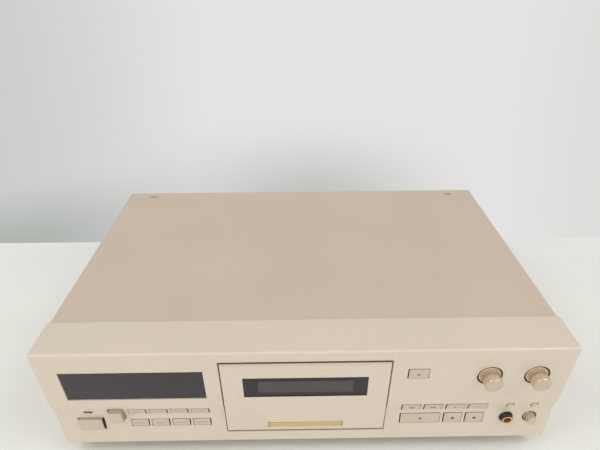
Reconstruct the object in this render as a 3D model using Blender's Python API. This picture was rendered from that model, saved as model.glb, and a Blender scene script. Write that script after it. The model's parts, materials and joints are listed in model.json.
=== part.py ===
"""Stereo cassette deck in a full-width hi-fi case.

A flat door, hinged along its foot, carries the cassette and tips forward. Behind it a
mechanism plate holds the reels, capstans and heads. The controls stand either side.

All sizes are in metres. Pieces are laid out from the middle of the front panel's top
front edge: x to the right, y (the depth) to the back and z up. A drop is a distance
below that edge, so a piece at a drop d has z = -d.
"""

import math

import bmesh
import bpy
from mathutils import Matrix, Vector

# Fits and fine detail
GAP = 0.0003
OVERRUN = 0.002
CHAMFER = 0.0004
ROUND_STEPS = 32
SMALL_STEPS = 20
ARC_STEPS = 4
SMOOTH_ANGLE = math.radians(35)

# The compact cassette, which the door and the mechanism are laid out around
CASSETTE_WIDTH = 0.1004
CASSETTE_HEIGHT = 0.0638
CASSETTE_THICKNESS = 0.0121
HUB_SPACING = 0.0425
HUB_FROM_TOP = 0.0294
CAPSTAN_SPACING = 0.066
CAPSTAN_FROM_FOOT = 0.0064

# Front panel
PANEL_WALL = 0.0024
RIM_WALL = 0.0025
FASCIA_DEPTH = 0.0347
PANEL_EDGE_RADIUS = 0.0016
CREASE_BELOW_DISPLAY = 0.0083
CREASE_HEIGHT = 0.0147
CREASE_DEPTH = 0.0026
BOTTOM_MARGIN = 0.0124
END_MARGIN = 0.012
SIDE_GAP = 0.0122

# Door and cassette holder
DOOR_DROP = 0.0102
DOOR_SIDE = 0.0178
DOOR_HEAD = 0.0029
DOOR_SILL = 0.0213
DOOR_GAP = 0.0013
DOOR_FOOT_GAP = 0.0008
DOOR_THICKNESS = 0.004
DOOR_BEVEL_HEIGHT = 0.0035
DOOR_BEVEL_DEPTH = 0.0006
DOOR_FOOT_RADIUS = 0.003
HINGE_PIN_RADIUS = 0.0015
HINGE_WALL = 0.0015
KNUCKLE_LENGTH = 0.009
EAR_LENGTH = 0.004
WINDOW_WIDTH = 0.0999
WINDOW_HEIGHT = 0.0226
WINDOW_BELOW_DOOR_TOP = 0.0186
WINDOW_RECESS = 0.0006
WINDOW_THICKNESS = 0.0025
BADGE_WIDTH = 0.0632
BADGE_HEIGHT = 0.0052
BADGE_THICKNESS = 0.0007
BADGE_POCKET = 0.0005
BADGE_FROM_FOOT = 0.0076
HOLDER_SHEET = 0.001
HOLDER_PLAY = 0.0005
HOLDER_LIP = 0.0042
HOLDER_LEDGE = 0.011
HOLDER_BELOW_DOOR_TOP = 0.0038
HOLDER_WINDOW_WIDTH = 0.078
HOLDER_WINDOW_HEIGHT = 0.015

# Display
DISPLAY_DROP = 0.0203
DISPLAY_WIDTH = 0.1126
DISPLAY_HEIGHT = 0.0323
DISPLAY_RECESS = 0.0008
DISPLAY_FLANGE = 0.0015
DISPLAY_FLANGE_DEPTH = 0.0015
TUBE_THICKNESS = 0.006
TUBE_INSET = 0.006

# Keys and buttons
KEY_GAP = 0.0005
KEY_SIDE_GAP = 0.0009
KEY_FLANGE = 0.0012
KEY_FLANGE_SIDE = 0.0011
KEY_FLANGE_THICKNESS = 0.0012
STEM_HALF = 0.0015
SHORTEST_STEM = 0.0018
KEY_TRAVEL = 0.0008
EJECT_TRAVEL = 0.0012
POWER_TRAVEL = 0.002
TIMER_TRAVEL = 0.002
KEY_PROUD = 0.0004
TRANSPORT_PROUD = 0.0005
EJECT_PROUD = 0.0005
POWER_PROUD = 0.0022
POWER_RIDGE = 0.0006
TIMER_PROUD = 0.0048
SWITCH_HALF = 0.003
SWITCH_HEIGHT = 0.0025
ROW_1_BELOW_CREASE = 0.0084
ROW_GAP = 0.0048
FUNCTION_HOLE_WIDTH = 0.016
FUNCTION_WEB = 0.0015
FUNCTION_ROW_1_HEIGHT = 0.0072
FUNCTION_ROW_2_HEIGHT = 0.0086
FUNCTION_BELOW_ROW = 0.0007
TRANSPORT_HOLE_WIDTH = 0.0168
TRANSPORT_WEB = 0.0018
TRANSPORT_ROW_1_HEIGHT = 0.0086
TRANSPORT_ROW_2_HEIGHT = 0.0122
EJECT_WIDTH = 0.0175
EJECT_HEIGHT = 0.011
TIMER_GAP = 0.0032
TIMER_SLOT_WIDTH = 0.0134
TIMER_SLOT_HEIGHT = 0.0149
TIMER_BELOW_ROW_1 = 0.0039
POWER_GAP = 0.005
POWER_SIDE_GAP = 0.0004
POWER_WIDTH = 0.0224
POWER_HEIGHT = 0.0142

# Knobs, round buttons and the phones jack
KNOB_HOLE_RADIUS = 0.0102
KNOB_RADIUS = 0.0071
KNOB_REACH = 0.01
KNOB_CLEARANCE = 0.0014
KNOB_SKIRT_DEPTH = 0.0033
KNOB_CENTRE_DROP = 0.0296
KNOB_SHAFT_RADIUS = 0.003
EJECT_TO_KNOB = 0.0377
KNOB_TO_KNOB = 0.017
POT_RADIUS = 0.008
POT_HEIGHT = 0.005
JACK_GAP = 0.0132
JACK_TO_LEVEL = 0.0084
JACK_RADIUS = 0.0057
POWER_BELOW_ROW_2 = 0.0008
JACK_SLEEVE_RADIUS = 0.005
JACK_BORE_RADIUS = 0.0033
JACK_REACH = 0.0019
JACK_BASE = 0.003
LEVEL_HOLE_RADIUS = 0.0061
LEVEL_KNOB_RADIUS = 0.004
LEVEL_KNOB_REACH = 0.0038
LEVEL_POT_RADIUS = 0.005
ROUND_BUTTON_RADIUS = 0.0026
ROUND_BUTTON_RISE = 0.0011
ROUND_BUTTON_GAP = 0.0008
ROUND_BUTTON_PROUD = 0.001
ROUND_BUTTON_LIP = 0.0008

# Front boards
BOARD_THICKNESS = 0.0016
BOARD_EDGE = 0.004
BOARD_FOOT_EDGE = 0.003
BOARD_TO_DOOR = 0.0048
BOSS_RADIUS = 0.0025
BOSS_INSET = 0.0035

# Case
SHEET = 0.0012
COVER_SHEET = 0.001
COVER_LENGTH = 0.2224
COVER_DROP = 0.0006
COVER_SET_IN = 0.00165
COVER_BEND = 0.0018
COVER_SKIRT_RISE = 0.001
COVER_SLOT_LENGTH = 0.009
COVER_SLOT_WIDTH = 0.002
COVER_SLOT_FROM_SIDE = 0.0304
COVER_SLOT_FROM_REAR = 0.0094
REAR_RECESS = 0.0015
CHASSIS_FLANGE = 0.016
FRAME_SILL = 0.008
STANDOFF_RADIUS = 0.003
STANDOFF_HEIGHT = 0.006
STANDOFF_INSET = 0.008
SCREW_HEAD_RADIUS = 0.004
SCREW_HEAD = 0.0013
SCREW_RADIUS = 0.0018
SCREW_LENGTH = 0.006
SCREW_RISE = 0.009
FOOT_HEIGHT = 0.0144
FOOT_RADIUS = 0.021
FOOT_TAPER = 0.002
FOOT_RECESS_RADIUS = 0.012
FOOT_RECESS_DEPTH = 0.003
FOOT_FROM_SIDE = 0.02
FOOT_FROM_END = 0.005

# Tape mechanism
RUNNING_GAP = 0.0008
REEL_RADIUS = 0.013
REEL_THICKNESS = 0.0019
SPINDLE_RADIUS = 0.0029
SPINDLE_FIN_RADIUS = 0.0042
SPINDLE_TIP = 0.0012
SPINDLE_FINS = 6
SPINDLE_FROM_FRONT = 0.0014
AXLE_RADIUS = 0.001
CAPSTAN_RADIUS = 0.00125
PLATE_THICKNESS = 0.0015
PLATE_MARGIN = 0.002
PLATE_FOOT_MARGIN = 0.004
PLATE_SIDE = 0.008
PLATE_EAR = 0.011
HOUSING_RADIUS = 0.005
HOUSING_LENGTH = 0.018
FLYWHEEL_RADIUS = 0.02
FLYWHEEL_THICKNESS = 0.0045
PULLEY_RADIUS = 0.004
BELT_THICKNESS = 0.0008
BELT_WIDTH = 0.003
CAPSTAN_MOTOR_RADIUS = 0.015
REEL_MOTOR_RADIUS = 0.012
MOTOR_GAP = 0.0055
MOTOR_LENGTH = 0.0176
MOTOR_ROUND = 0.0015
PINION_RADIUS = 0.004
IDLER_RADIUS = 0.0065
IDLER_BELOW_HUBS = 0.006
ARM_THICKNESS = 0.0008
ARM_HALF_WIDTH = 0.0025
HEAD_TRAVEL = 0.008
HEAD_PLATE_THICKNESS = 0.0012
HEAD_PLATE_BELOW_CASSETTE = 0.0051
HEAD_PLATE_HEIGHT = 0.017
HEAD_PLATE_SIDE = 0.008
HEAD_HALF_WIDTH = 0.007
HEAD_HEIGHT = 0.012
HEAD_BELOW_CASSETTE = 0.003
HEAD_NOSE_SET_IN = 0.002
HEAD_FROM_FRONT = 0.0017
PINCH_RADIUS = 0.0045
PINCH_LENGTH = 0.008
PINCH_FROM_FRONT = 0.003

# Electronics
BOARD_TO_SIDE = 0.012
BOARD_TO_MECHANISM = 0.012
BOARD_TO_REAR = 0.002
TRANSFORMER_WIDTH = 0.062
TRANSFORMER_LENGTH = 0.05
TRANSFORMER_HEIGHT = 0.052
CORE_HEIGHT = 0.03
CORE_OVERHANG = 0.007
CAPACITOR_RADIUS = 0.009
CAPACITOR_HEIGHT = 0.032
CAPACITOR_PITCH = 0.026
CAPACITOR_COUNT = 3
SINK_LENGTH = 0.06
SINK_HEIGHT = 0.035
SINK_DEPTH = 0.02
SINK_FIN = 0.002
SINK_FINS = 7
SINK_BACK = 0.004
PARTS_MARGIN = 0.02
JACK_BLOCK_WIDTH = 0.046
JACK_BLOCK_HEIGHT = 0.032
JACK_BLOCK_DEPTH = 0.013
JACK_BLOCK_LIP = 0.002
JACK_BLOCK_PLATE = 0.0015
JACK_BLOCK_FROM_SIDE = 0.04
LINE_JACK_RADIUS = 0.0042
LINE_JACK_BORE = 0.0016
LINE_JACK_REACH = 0.0085
LINE_JACK_COLLAR = 0.0062
LINE_JACK_COLLAR_DEPTH = 0.002
LINE_JACK_PITCH = 0.019
LINE_JACK_RISE = 0.0145
INLET_WIDTH = 0.024
INLET_HEIGHT = 0.016
INLET_DEPTH = 0.017
INLET_LIP = 0.0025
INLET_PLATE = 0.0015
INLET_RECESS = 0.012
INLET_SOCKET_HALF_WIDTH = 0.0082
INLET_SOCKET_HALF_HEIGHT = 0.0044
INLET_PIN_RADIUS = 0.0012
INLET_PIN_SPACING = 0.0086
INLET_PIN_LENGTH = 0.009
INLET_RISE = 0.03
INLET_FROM_SIDE = 0.035

# Worked out across the front
DOOR_WIDTH = CASSETTE_WIDTH + 2 * DOOR_SIDE
DOOR_HALF = DOOR_WIDTH / 2
FUNCTION_PITCH = FUNCTION_HOLE_WIDTH + FUNCTION_WEB
TRANSPORT_PITCH = TRANSPORT_HOLE_WIDTH + TRANSPORT_WEB
FUNCTION_ROW_WIDTH = 4 * FUNCTION_PITCH - FUNCTION_WEB
TRANSPORT_ROW_WIDTH = 4 * TRANSPORT_PITCH - TRANSPORT_WEB
TIMER_X = -(DOOR_HALF + SIDE_GAP + FUNCTION_ROW_WIDTH + TIMER_GAP + TIMER_SLOT_WIDTH / 2)
POWER_X = TIMER_X - TIMER_SLOT_WIDTH / 2 - POWER_GAP - POWER_WIDTH / 2
DISPLAY_X = -(DOOR_HALF + SIDE_GAP + DISPLAY_WIDTH / 2)
EJECT_X = DOOR_HALF + SIDE_GAP + EJECT_WIDTH / 2
KNOB_1_X = EJECT_X + EJECT_WIDTH / 2 + EJECT_TO_KNOB + KNOB_HOLE_RADIUS
KNOB_2_X = KNOB_1_X + 2 * KNOB_HOLE_RADIUS + KNOB_TO_KNOB
JACK_X = DOOR_HALF + SIDE_GAP + TRANSPORT_ROW_WIDTH + JACK_GAP + JACK_RADIUS
LEVEL_X = JACK_X + JACK_RADIUS + JACK_TO_LEVEL + LEVEL_HOLE_RADIUS
WIDEST_ROW = max(
    -(DISPLAY_X - DISPLAY_WIDTH / 2),
    -(POWER_X - POWER_WIDTH / 2),
    KNOB_2_X + KNOB_HOLE_RADIUS,
    LEVEL_X + LEVEL_HOLE_RADIUS,
)
FASCIA_HALF = WIDEST_ROW + END_MARGIN

BOARD_INNER = DOOR_HALF + BOARD_TO_DOOR
BOARD_OUTER = FASCIA_HALF - RIM_WALL - BOARD_EDGE

# Worked out down the front
DOOR_HEIGHT = DOOR_HEAD + CASSETTE_HEIGHT + DOOR_SILL
DOOR_FOOT_DROP = DOOR_DROP + DOOR_HEIGHT
CASSETTE_DROP = DOOR_DROP + DOOR_HEAD
CASSETTE_FOOT_DROP = CASSETTE_DROP + CASSETTE_HEIGHT
HUB_DROP = CASSETTE_DROP + HUB_FROM_TOP
CAPSTAN_DROP = CASSETTE_FOOT_DROP - CAPSTAN_FROM_FOOT
CREASE_DROP = DISPLAY_DROP + DISPLAY_HEIGHT + CREASE_BELOW_DISPLAY
CREASE_FOOT_DROP = CREASE_DROP + CREASE_HEIGHT
ROW_1_DROP = CREASE_DROP + ROW_1_BELOW_CREASE
ROW_2_DROP = ROW_1_DROP + TRANSPORT_ROW_1_HEIGHT / 2 + ROW_GAP + TRANSPORT_ROW_2_HEIGHT / 2
POWER_DROP = ROW_2_DROP + POWER_BELOW_ROW_2
FASCIA_HEIGHT = max(DOOR_FOOT_DROP, ROW_2_DROP + TRANSPORT_ROW_2_HEIGHT / 2) + BOTTOM_MARGIN

# Worked out from front to back
FASCIA_BACK = CREASE_DEPTH + PANEL_WALL
DISPLAY_STACK = GAP + DISPLAY_FLANGE_DEPTH + GAP + TUBE_THICKNESS
KEY_STACK = GAP + KEY_FLANGE_THICKNESS + SHORTEST_STEM + POWER_TRAVEL + GAP + SWITCH_HEIGHT
BOARD_DEPTH = FASCIA_BACK + max(DISPLAY_STACK, KEY_STACK)
HINGE_DEPTH = FASCIA_BACK + GAP + HINGE_PIN_RADIUS
HINGE_DROP = DOOR_FOOT_DROP - DOOR_FOOT_GAP - HINGE_DEPTH
HOLDER_DEPTH = DOOR_THICKNESS + GAP
CASSETTE_DEPTH = HOLDER_DEPTH + HOLDER_SHEET
HOLDER_LIP_DEPTH = CASSETTE_DEPTH + CASSETTE_THICKNESS + GAP
HOLDER_BACK = HOLDER_LIP_DEPTH + HOLDER_SHEET
REEL_DEPTH = HOLDER_BACK + RUNNING_GAP + ARM_THICKNESS
PLATE_DEPTH = REEL_DEPTH + REEL_THICKNESS + GAP
PLATE_BACK = PLATE_DEPTH + PLATE_THICKNESS
HOUSING_BACK = PLATE_BACK + HOUSING_LENGTH
FLYWHEEL_DEPTH = HOUSING_BACK + GAP
FLYWHEEL_BACK = FLYWHEEL_DEPTH + FLYWHEEL_THICKNESS
FRAME_DEPTH = FASCIA_DEPTH + GAP
COVER_DEPTH = FASCIA_DEPTH + GAP
BODY_DEPTH = COVER_DEPTH + COVER_LENGTH
SCREW_DEPTH = COVER_DEPTH + COVER_LENGTH / 2
REAR_FACE = BODY_DEPTH - REAR_RECESS
REAR_INNER = REAR_FACE - SHEET
REAR_REACH = LINE_JACK_REACH + JACK_BLOCK_PLATE + GAP - REAR_RECESS

# Worked out for the case
COVER_HALF = FASCIA_HALF - COVER_SET_IN
CHASSIS_HALF = COVER_HALF - COVER_SHEET - GAP
PAN_TOP = SHEET - FASCIA_HEIGHT
BOARD_REST = PAN_TOP + STANDOFF_HEIGHT + GAP
BOARD_TOP = BOARD_REST + BOARD_THICKNESS
FRONT_Y = -(KNOB_REACH + BODY_DEPTH + REAR_REACH) / 2 + KNOB_REACH
TOP_Z = FOOT_HEIGHT + FASCIA_HEIGHT

# Worked out for the reel drive
IDLER_DROP = HUB_DROP + IDLER_BELOW_HUBS
REEL_MOTOR_DROP = IDLER_DROP + IDLER_RADIUS + GAP + PINION_RADIUS
CAPSTAN_MOTOR_DROP = REEL_MOTOR_DROP - REEL_MOTOR_RADIUS - MOTOR_GAP - CAPSTAN_MOTOR_RADIUS
PINCH_DROP = CAPSTAN_DROP + CAPSTAN_RADIUS + PINCH_RADIUS + HEAD_TRAVEL + GAP

# Finishes: sRGB colour, metallic, roughness
FINISHES = {
    "panel": ("D8CCB4", 0.6, 0.38),
    "cover": ("C6B69C", 0.6, 0.42),
    "key": ("C6B6A2", 0.3, 0.4),
    "knob": ("CBBBA3", 0.9, 0.28),
    "smoke": ("45403F", 0.0, 0.08),
    "gilt": ("D9BC72", 1.0, 0.25),
    "steel": ("B4B4B0", 1.0, 0.35),
    "black": ("1E1D1D", 0.0, 0.5),
    "rubber": ("262524", 0.0, 0.8),
    "board": ("8A6A3C", 0.0, 0.6),
    "brass": ("C89B5A", 1.0, 0.3),
    "core": ("6B6660", 0.8, 0.5),
}


def linear(code):
    """Turns a six-digit sRGB colour into linear red, green and blue."""
    values = [int(code[place:place + 2], 16) / 255 for place in (0, 2, 4)]
    return [v / 12.92 if v <= 0.04045 else ((v + 0.055) / 1.055) ** 2.4 for v in values]


def dress(thing, finish):
    """Gives an object a material of its own."""
    code, metallic, roughness = FINISHES[finish]
    material = bpy.data.materials.new(thing.name)
    material.use_nodes = True
    shader = material.node_tree.nodes["Principled BSDF"]
    shader.inputs["Base Color"].default_value = (*linear(code), 1.0)
    shader.inputs["Metallic"].default_value = metallic
    shader.inputs["Roughness"].default_value = roughness
    thing.data.materials.append(material)


def anchor(name, place, parent=None):
    """Makes an empty that a group of pieces hangs from, at a place in the layout."""
    empty = bpy.data.objects.new(name, None)
    bpy.context.scene.collection.objects.link(empty)
    empty["place"] = place
    empty.parent = parent
    empty.location = place if parent is None else Vector(place) - Vector(parent["place"])
    return empty


def solid(name, bm, place, parent):
    """Makes an object from a mesh drawn in the layout, with its origin at a place."""
    bmesh.ops.recalc_face_normals(bm, faces=bm.faces)
    bmesh.ops.translate(bm, verts=bm.verts, vec=-Vector(place))
    mesh = bpy.data.meshes.new(name)
    bm.to_mesh(mesh)
    bm.free()
    mesh.shade_smooth()
    mesh.set_sharp_from_angle(angle=SMOOTH_ANGLE)
    thing = bpy.data.objects.new(name, mesh)
    bpy.context.scene.collection.objects.link(thing)
    thing.parent = parent
    thing.location = Vector(place) - Vector(parent["place"])
    return thing


def piece(name, bm, place, parent, finish):
    """Makes one sub-part of the deck with its finish."""
    thing = solid(name, bm, place, parent)
    dress(thing, finish)
    return thing


def combine(target, bm, operation):
    """Cuts a drawn shape from a piece, or joins it on, with a Boolean modifier."""
    tool = solid(f"{target.name}_{operation.lower()}", bm, (0, 0, 0), target.parent)
    tool.parent = None
    tool.location = Vector((0, FRONT_Y, TOP_Z))
    tool.hide_render = True
    tool.display_type = "WIRE"
    modifier = target.modifiers.new(operation.title(), "BOOLEAN")
    modifier.operation = operation
    modifier.object = tool
    modifier.solver = "EXACT"


def cut(target, bm):
    """Cuts a drawn shape out of a piece."""
    combine(target, bm, "DIFFERENCE")


def join(target, bm):
    """Joins a drawn shape onto a piece."""
    combine(target, bm, "UNION")


def spot(along, across, up, station):
    """Gives the point at a station on an axis, offset across it and up it."""
    if along == "X":
        return Vector((station, across, up))
    if along == "Y":
        return Vector((across, station, up))
    return Vector((across, up, station))


def skin(bm, rings, closed=False):
    """Skins rings of points in order, and caps the ends unless they meet."""
    loops = [[bm.verts.new(point) for point in ring] for ring in rings]
    pairs = list(zip(loops, loops[1:]))
    if closed:
        pairs.append((loops[-1], loops[0]))
    for near, far in pairs:
        for start in range(len(near)):
            end = (start + 1) % len(near)
            bm.faces.new((near[start], near[end], far[end], far[start]))
    if not closed:
        bm.faces.new(loops[0])
        bm.faces.new(reversed(loops[-1]))


def block(bm, low, high):
    """Adds a box between two corners."""
    low, high = Vector(low), Vector(high)
    size = Matrix.Diagonal((high - low).to_4d())
    size[3][3] = 1
    bmesh.ops.create_cube(bm, size=1, matrix=Matrix.Translation((low + high) / 2) @ size)


def prism(bm, along, outline, start, end):
    """Adds an outline drawn across an axis and carried along it."""
    skin(bm, [[spot(along, a, b, station) for a, b in outline] for station in (start, end)])


def turned(bm, along, centre, profile, steps=ROUND_STEPS, closed=False):
    """Adds a turned shape from stations and radii along an axis."""
    rings = []
    for station, radius in profile:
        ring = []
        for step in range(steps):
            angle = 2 * math.pi * step / steps
            across = centre[0] + radius * math.cos(angle)
            up = centre[1] + radius * math.sin(angle)
            ring.append(spot(along, across, up, station))
        rings.append(ring)
    skin(bm, rings, closed)


def stacked(bm, centre, sections):
    """Adds oblong sections one behind another, each a depth, half width and half height."""
    rings = []
    for depth, half_width, half_height in sections:
        corners = ((-1, -1), (1, -1), (1, 1), (-1, 1))
        rings.append([
            spot("Y", centre[0] + side * half_width, centre[1] + end * half_height, depth)
            for side, end in corners
        ])
    skin(bm, rings)


def arc(centre, radius, start, end, steps=ARC_STEPS):
    """Gives the points of an arc, with its angles in degrees."""
    points = []
    for step in range(steps + 1):
        angle = math.radians(start + (end - start) * step / steps)
        points.append((centre[0] + radius * math.cos(angle), centre[1] + radius * math.sin(angle)))
    return points


def face_depth(drop):
    """Gives the depth of the front panel's creased face at a drop."""
    if drop <= CREASE_DROP:
        return 0.0
    if drop <= CREASE_FOOT_DROP:
        return CREASE_DEPTH * (drop - CREASE_DROP) / CREASE_HEIGHT
    return CREASE_DEPTH * (FASCIA_HEIGHT - drop) / (FASCIA_HEIGHT - CREASE_FOOT_DROP)


def function_keys():
    """Gives each function key's number, centre and half height, row by row."""
    keys = []
    rows = ((ROW_1_DROP, FUNCTION_ROW_1_HEIGHT), (ROW_2_DROP, FUNCTION_ROW_2_HEIGHT))
    left = -(DOOR_HALF + SIDE_GAP + FUNCTION_ROW_WIDTH) + FUNCTION_HOLE_WIDTH / 2
    for drop, height in rows:
        for column in range(4):
            x = left + column * FUNCTION_PITCH
            keys.append((len(keys) + 1, x, drop + FUNCTION_BELOW_ROW, height / 2))
    return keys


def transport_keys():
    """Gives each transport key's name, centre and half sizes."""
    left = DOOR_HALF + SIDE_GAP + TRANSPORT_HOLE_WIDTH / 2
    half = TRANSPORT_HOLE_WIDTH / 2
    upper = TRANSPORT_ROW_1_HEIGHT / 2
    lower = TRANSPORT_ROW_2_HEIGHT / 2
    keys = []
    for column, name in enumerate(("rewind_key", "forward_key", "reverse_key", "mute_key")):
        keys.append((name, left + column * TRANSPORT_PITCH, ROW_1_DROP, half, upper))
    play_x = left + TRANSPORT_PITCH / 2
    keys.append(("play_key", play_x, ROW_2_DROP, half + TRANSPORT_PITCH / 2, lower))
    for column, name in enumerate(("stop_key", "record_key"), start=2):
        keys.append((name, left + column * TRANSPORT_PITCH, ROW_2_DROP, half, lower))
    return keys


def round_buttons():
    """Gives the two small round buttons' names and places."""
    drop = ROW_1_DROP - ROUND_BUTTON_RISE
    return (("tuning_button", JACK_X, drop), ("monitor_button", LEVEL_X, drop))


def boss_places(left, right):
    """Gives the fixing bosses near a board's four corners."""
    top = RIM_WALL + BOARD_EDGE + BOSS_INSET
    foot = FASCIA_HEIGHT - RIM_WALL - BOARD_FOOT_EDGE - BOSS_INSET
    columns = (left + BOSS_INSET, right - BOSS_INSET)
    return [(x, drop) for x in columns for drop in (top, foot)]


def build_fascia(deck):
    """Front panel: a deep shell with a shallow crease across its lower half."""
    outline = [
        (FASCIA_DEPTH, 0),
        (0, 0),
        (0, -CREASE_DROP),
        (CREASE_DEPTH, -CREASE_FOOT_DROP),
        (0, -FASCIA_HEIGHT),
        (FASCIA_DEPTH, -FASCIA_HEIGHT),
    ]
    bm = bmesh.new()
    prism(bm, "X", outline, -FASCIA_HALF, FASCIA_HALF)
    bmesh.ops.recalc_face_normals(bm, faces=bm.faces)
    edges = [edge for edge in bm.edges if edge.calc_face_angle() > math.radians(60)]
    edges = [edge for edge in edges if min(vert.co.y for vert in edge.verts) < FASCIA_BACK]
    bmesh.ops.bevel(
        bm, geom=edges, offset=PANEL_EDGE_RADIUS, segments=3, profile=0.5, affect="EDGES"
    )
    fascia = piece("fascia", bm, (0, 0, 0), deck, "panel")

    cavity = bmesh.new()
    inner = FASCIA_HALF - RIM_WALL
    block(
        cavity,
        (-inner, FASCIA_BACK, RIM_WALL - FASCIA_HEIGHT),
        (inner, FASCIA_DEPTH + OVERRUN, -RIM_WALL),
    )
    cut(fascia, cavity)
    join(fascia, fascia_fixings())
    cut(fascia, fascia_openings())
    join(fascia, fascia_pivots())


def hinge_outline(radius, root):
    """Gives a rounded lug round the hinge axis, growing from a wall at a depth."""
    tip = arc((HINGE_DEPTH, -HINGE_DROP), radius, 90, -90, 2 * ARC_STEPS)
    return [(root, radius - HINGE_DROP), *tip, (root, -radius - HINGE_DROP)]


def fascia_fixings():
    """Hinge ears beside the door and the bosses that carry the front boards."""
    bm = bmesh.new()
    outline = hinge_outline(HINGE_PIN_RADIUS + GAP + HINGE_WALL, FASCIA_BACK - PANEL_WALL / 2)
    for side in (-1, 1):
        prism(bm, "X", outline, side * DOOR_HALF, side * (DOOR_HALF + EAR_LENGTH))
    profile = ((FASCIA_BACK - PANEL_WALL / 2, BOSS_RADIUS), (BOARD_DEPTH - GAP, BOSS_RADIUS))
    places = boss_places(-BOARD_OUTER, -BOARD_INNER) + boss_places(BOARD_INNER, BOARD_OUTER)
    for x, drop in places:
        turned(bm, "Y", (x, -drop), profile, SMALL_STEPS)
    return bm


def fascia_pivots():
    """The two moulded pins that the door turns on."""
    bm = bmesh.new()
    inner = DOOR_HALF - DOOR_GAP - KNUCKLE_LENGTH + GAP
    outer = DOOR_HALF + EAR_LENGTH / 2
    for side in (-1, 1):
        profile = [(side * station, HINGE_PIN_RADIUS) for station in (inner, outer)]
        turned(bm, "X", (HINGE_DEPTH, -HINGE_DROP), profile, SMALL_STEPS)
    return bm


def fascia_openings():
    """Everything cut through the front panel's wall."""
    bm = bmesh.new()
    front = -OVERRUN
    back = FASCIA_BACK + OVERRUN
    cut_depth = GAP + HINGE_DEPTH + HINGE_PIN_RADIUS + HINGE_WALL + OVERRUN
    sweep = math.sqrt(2) * (HINGE_DEPTH - DOOR_FOOT_RADIUS) + DOOR_FOOT_RADIUS
    relief = sweep - HINGE_DEPTH + GAP
    door = [
        (front, -DOOR_DROP),
        (front, -DOOR_FOOT_DROP),
        (0, -DOOR_FOOT_DROP),
        (FASCIA_BACK, -DOOR_FOOT_DROP - relief),
        (cut_depth, -DOOR_FOOT_DROP - relief),
        (cut_depth, -DOOR_DROP),
    ]
    prism(bm, "X", door, -DOOR_HALF, DOOR_HALF)

    slots = [
        (DISPLAY_X, DISPLAY_DROP + DISPLAY_HEIGHT / 2, DISPLAY_WIDTH / 2, DISPLAY_HEIGHT / 2),
        (TIMER_X, ROW_1_DROP + TIMER_BELOW_ROW_1, TIMER_SLOT_WIDTH / 2, TIMER_SLOT_HEIGHT / 2),
        (POWER_X, POWER_DROP, POWER_WIDTH / 2, POWER_HEIGHT / 2),
        (EJECT_X, DISPLAY_DROP + EJECT_HEIGHT / 2, EJECT_WIDTH / 2, EJECT_HEIGHT / 2),
    ]
    slots += [(x, drop, FUNCTION_HOLE_WIDTH / 2, half) for _, x, drop, half in function_keys()]
    slots += [(x, drop, wide, high) for _, x, drop, wide, high in transport_keys()]
    for x, drop, half_width, half_height in slots:
        stacked(bm, (x, -drop), [(station, half_width, half_height) for station in (front, back)])

    holes = [
        (KNOB_1_X, KNOB_CENTRE_DROP, KNOB_HOLE_RADIUS),
        (KNOB_2_X, KNOB_CENTRE_DROP, KNOB_HOLE_RADIUS),
        (JACK_X, ROW_2_DROP, JACK_RADIUS + GAP),
        (LEVEL_X, ROW_2_DROP, LEVEL_HOLE_RADIUS),
    ]
    holes += [(x, drop, ROUND_BUTTON_RADIUS + ROUND_BUTTON_GAP) for _, x, drop in round_buttons()]
    for x, drop, radius in holes:
        turned(bm, "Y", (x, -drop), [(front, radius), (back, radius)])
    return bm


def build_display(deck):
    """Smoked window of the display, held by a flange behind the wall."""
    middle = (DISPLAY_X, -(DISPLAY_DROP + DISPLAY_HEIGHT / 2))
    half_width = DISPLAY_WIDTH / 2
    half_height = DISPLAY_HEIGHT / 2
    bm = bmesh.new()
    flange = FASCIA_BACK + GAP
    stacked(bm, middle, (
        (DISPLAY_RECESS, half_width - GAP, half_height - GAP),
        (flange, half_width - GAP, half_height - GAP),
        (flange, half_width + DISPLAY_FLANGE, half_height + DISPLAY_FLANGE),
        (flange + DISPLAY_FLANGE_DEPTH, half_width + DISPLAY_FLANGE, half_height + DISPLAY_FLANGE),
    ))
    piece("display_window", bm, (middle[0], 0, middle[1]), deck, "smoke")


def board_blank(left, right):
    """Draws a front board between two sides."""
    bm = bmesh.new()
    foot = RIM_WALL + BOARD_FOOT_EDGE - FASCIA_HEIGHT
    back = BOARD_DEPTH + BOARD_THICKNESS
    block(bm, (left, BOARD_DEPTH, foot), (right, back, -RIM_WALL - BOARD_EDGE))
    return bm


def add_switch(bm, x, drop):
    """Adds one push switch to a front board."""
    front = BOARD_DEPTH - SWITCH_HEIGHT
    back = BOARD_DEPTH + BOARD_THICKNESS / 2
    stacked(bm, (x, -drop), [(depth, SWITCH_HALF, SWITCH_HALF) for depth in (front, back)])


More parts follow.
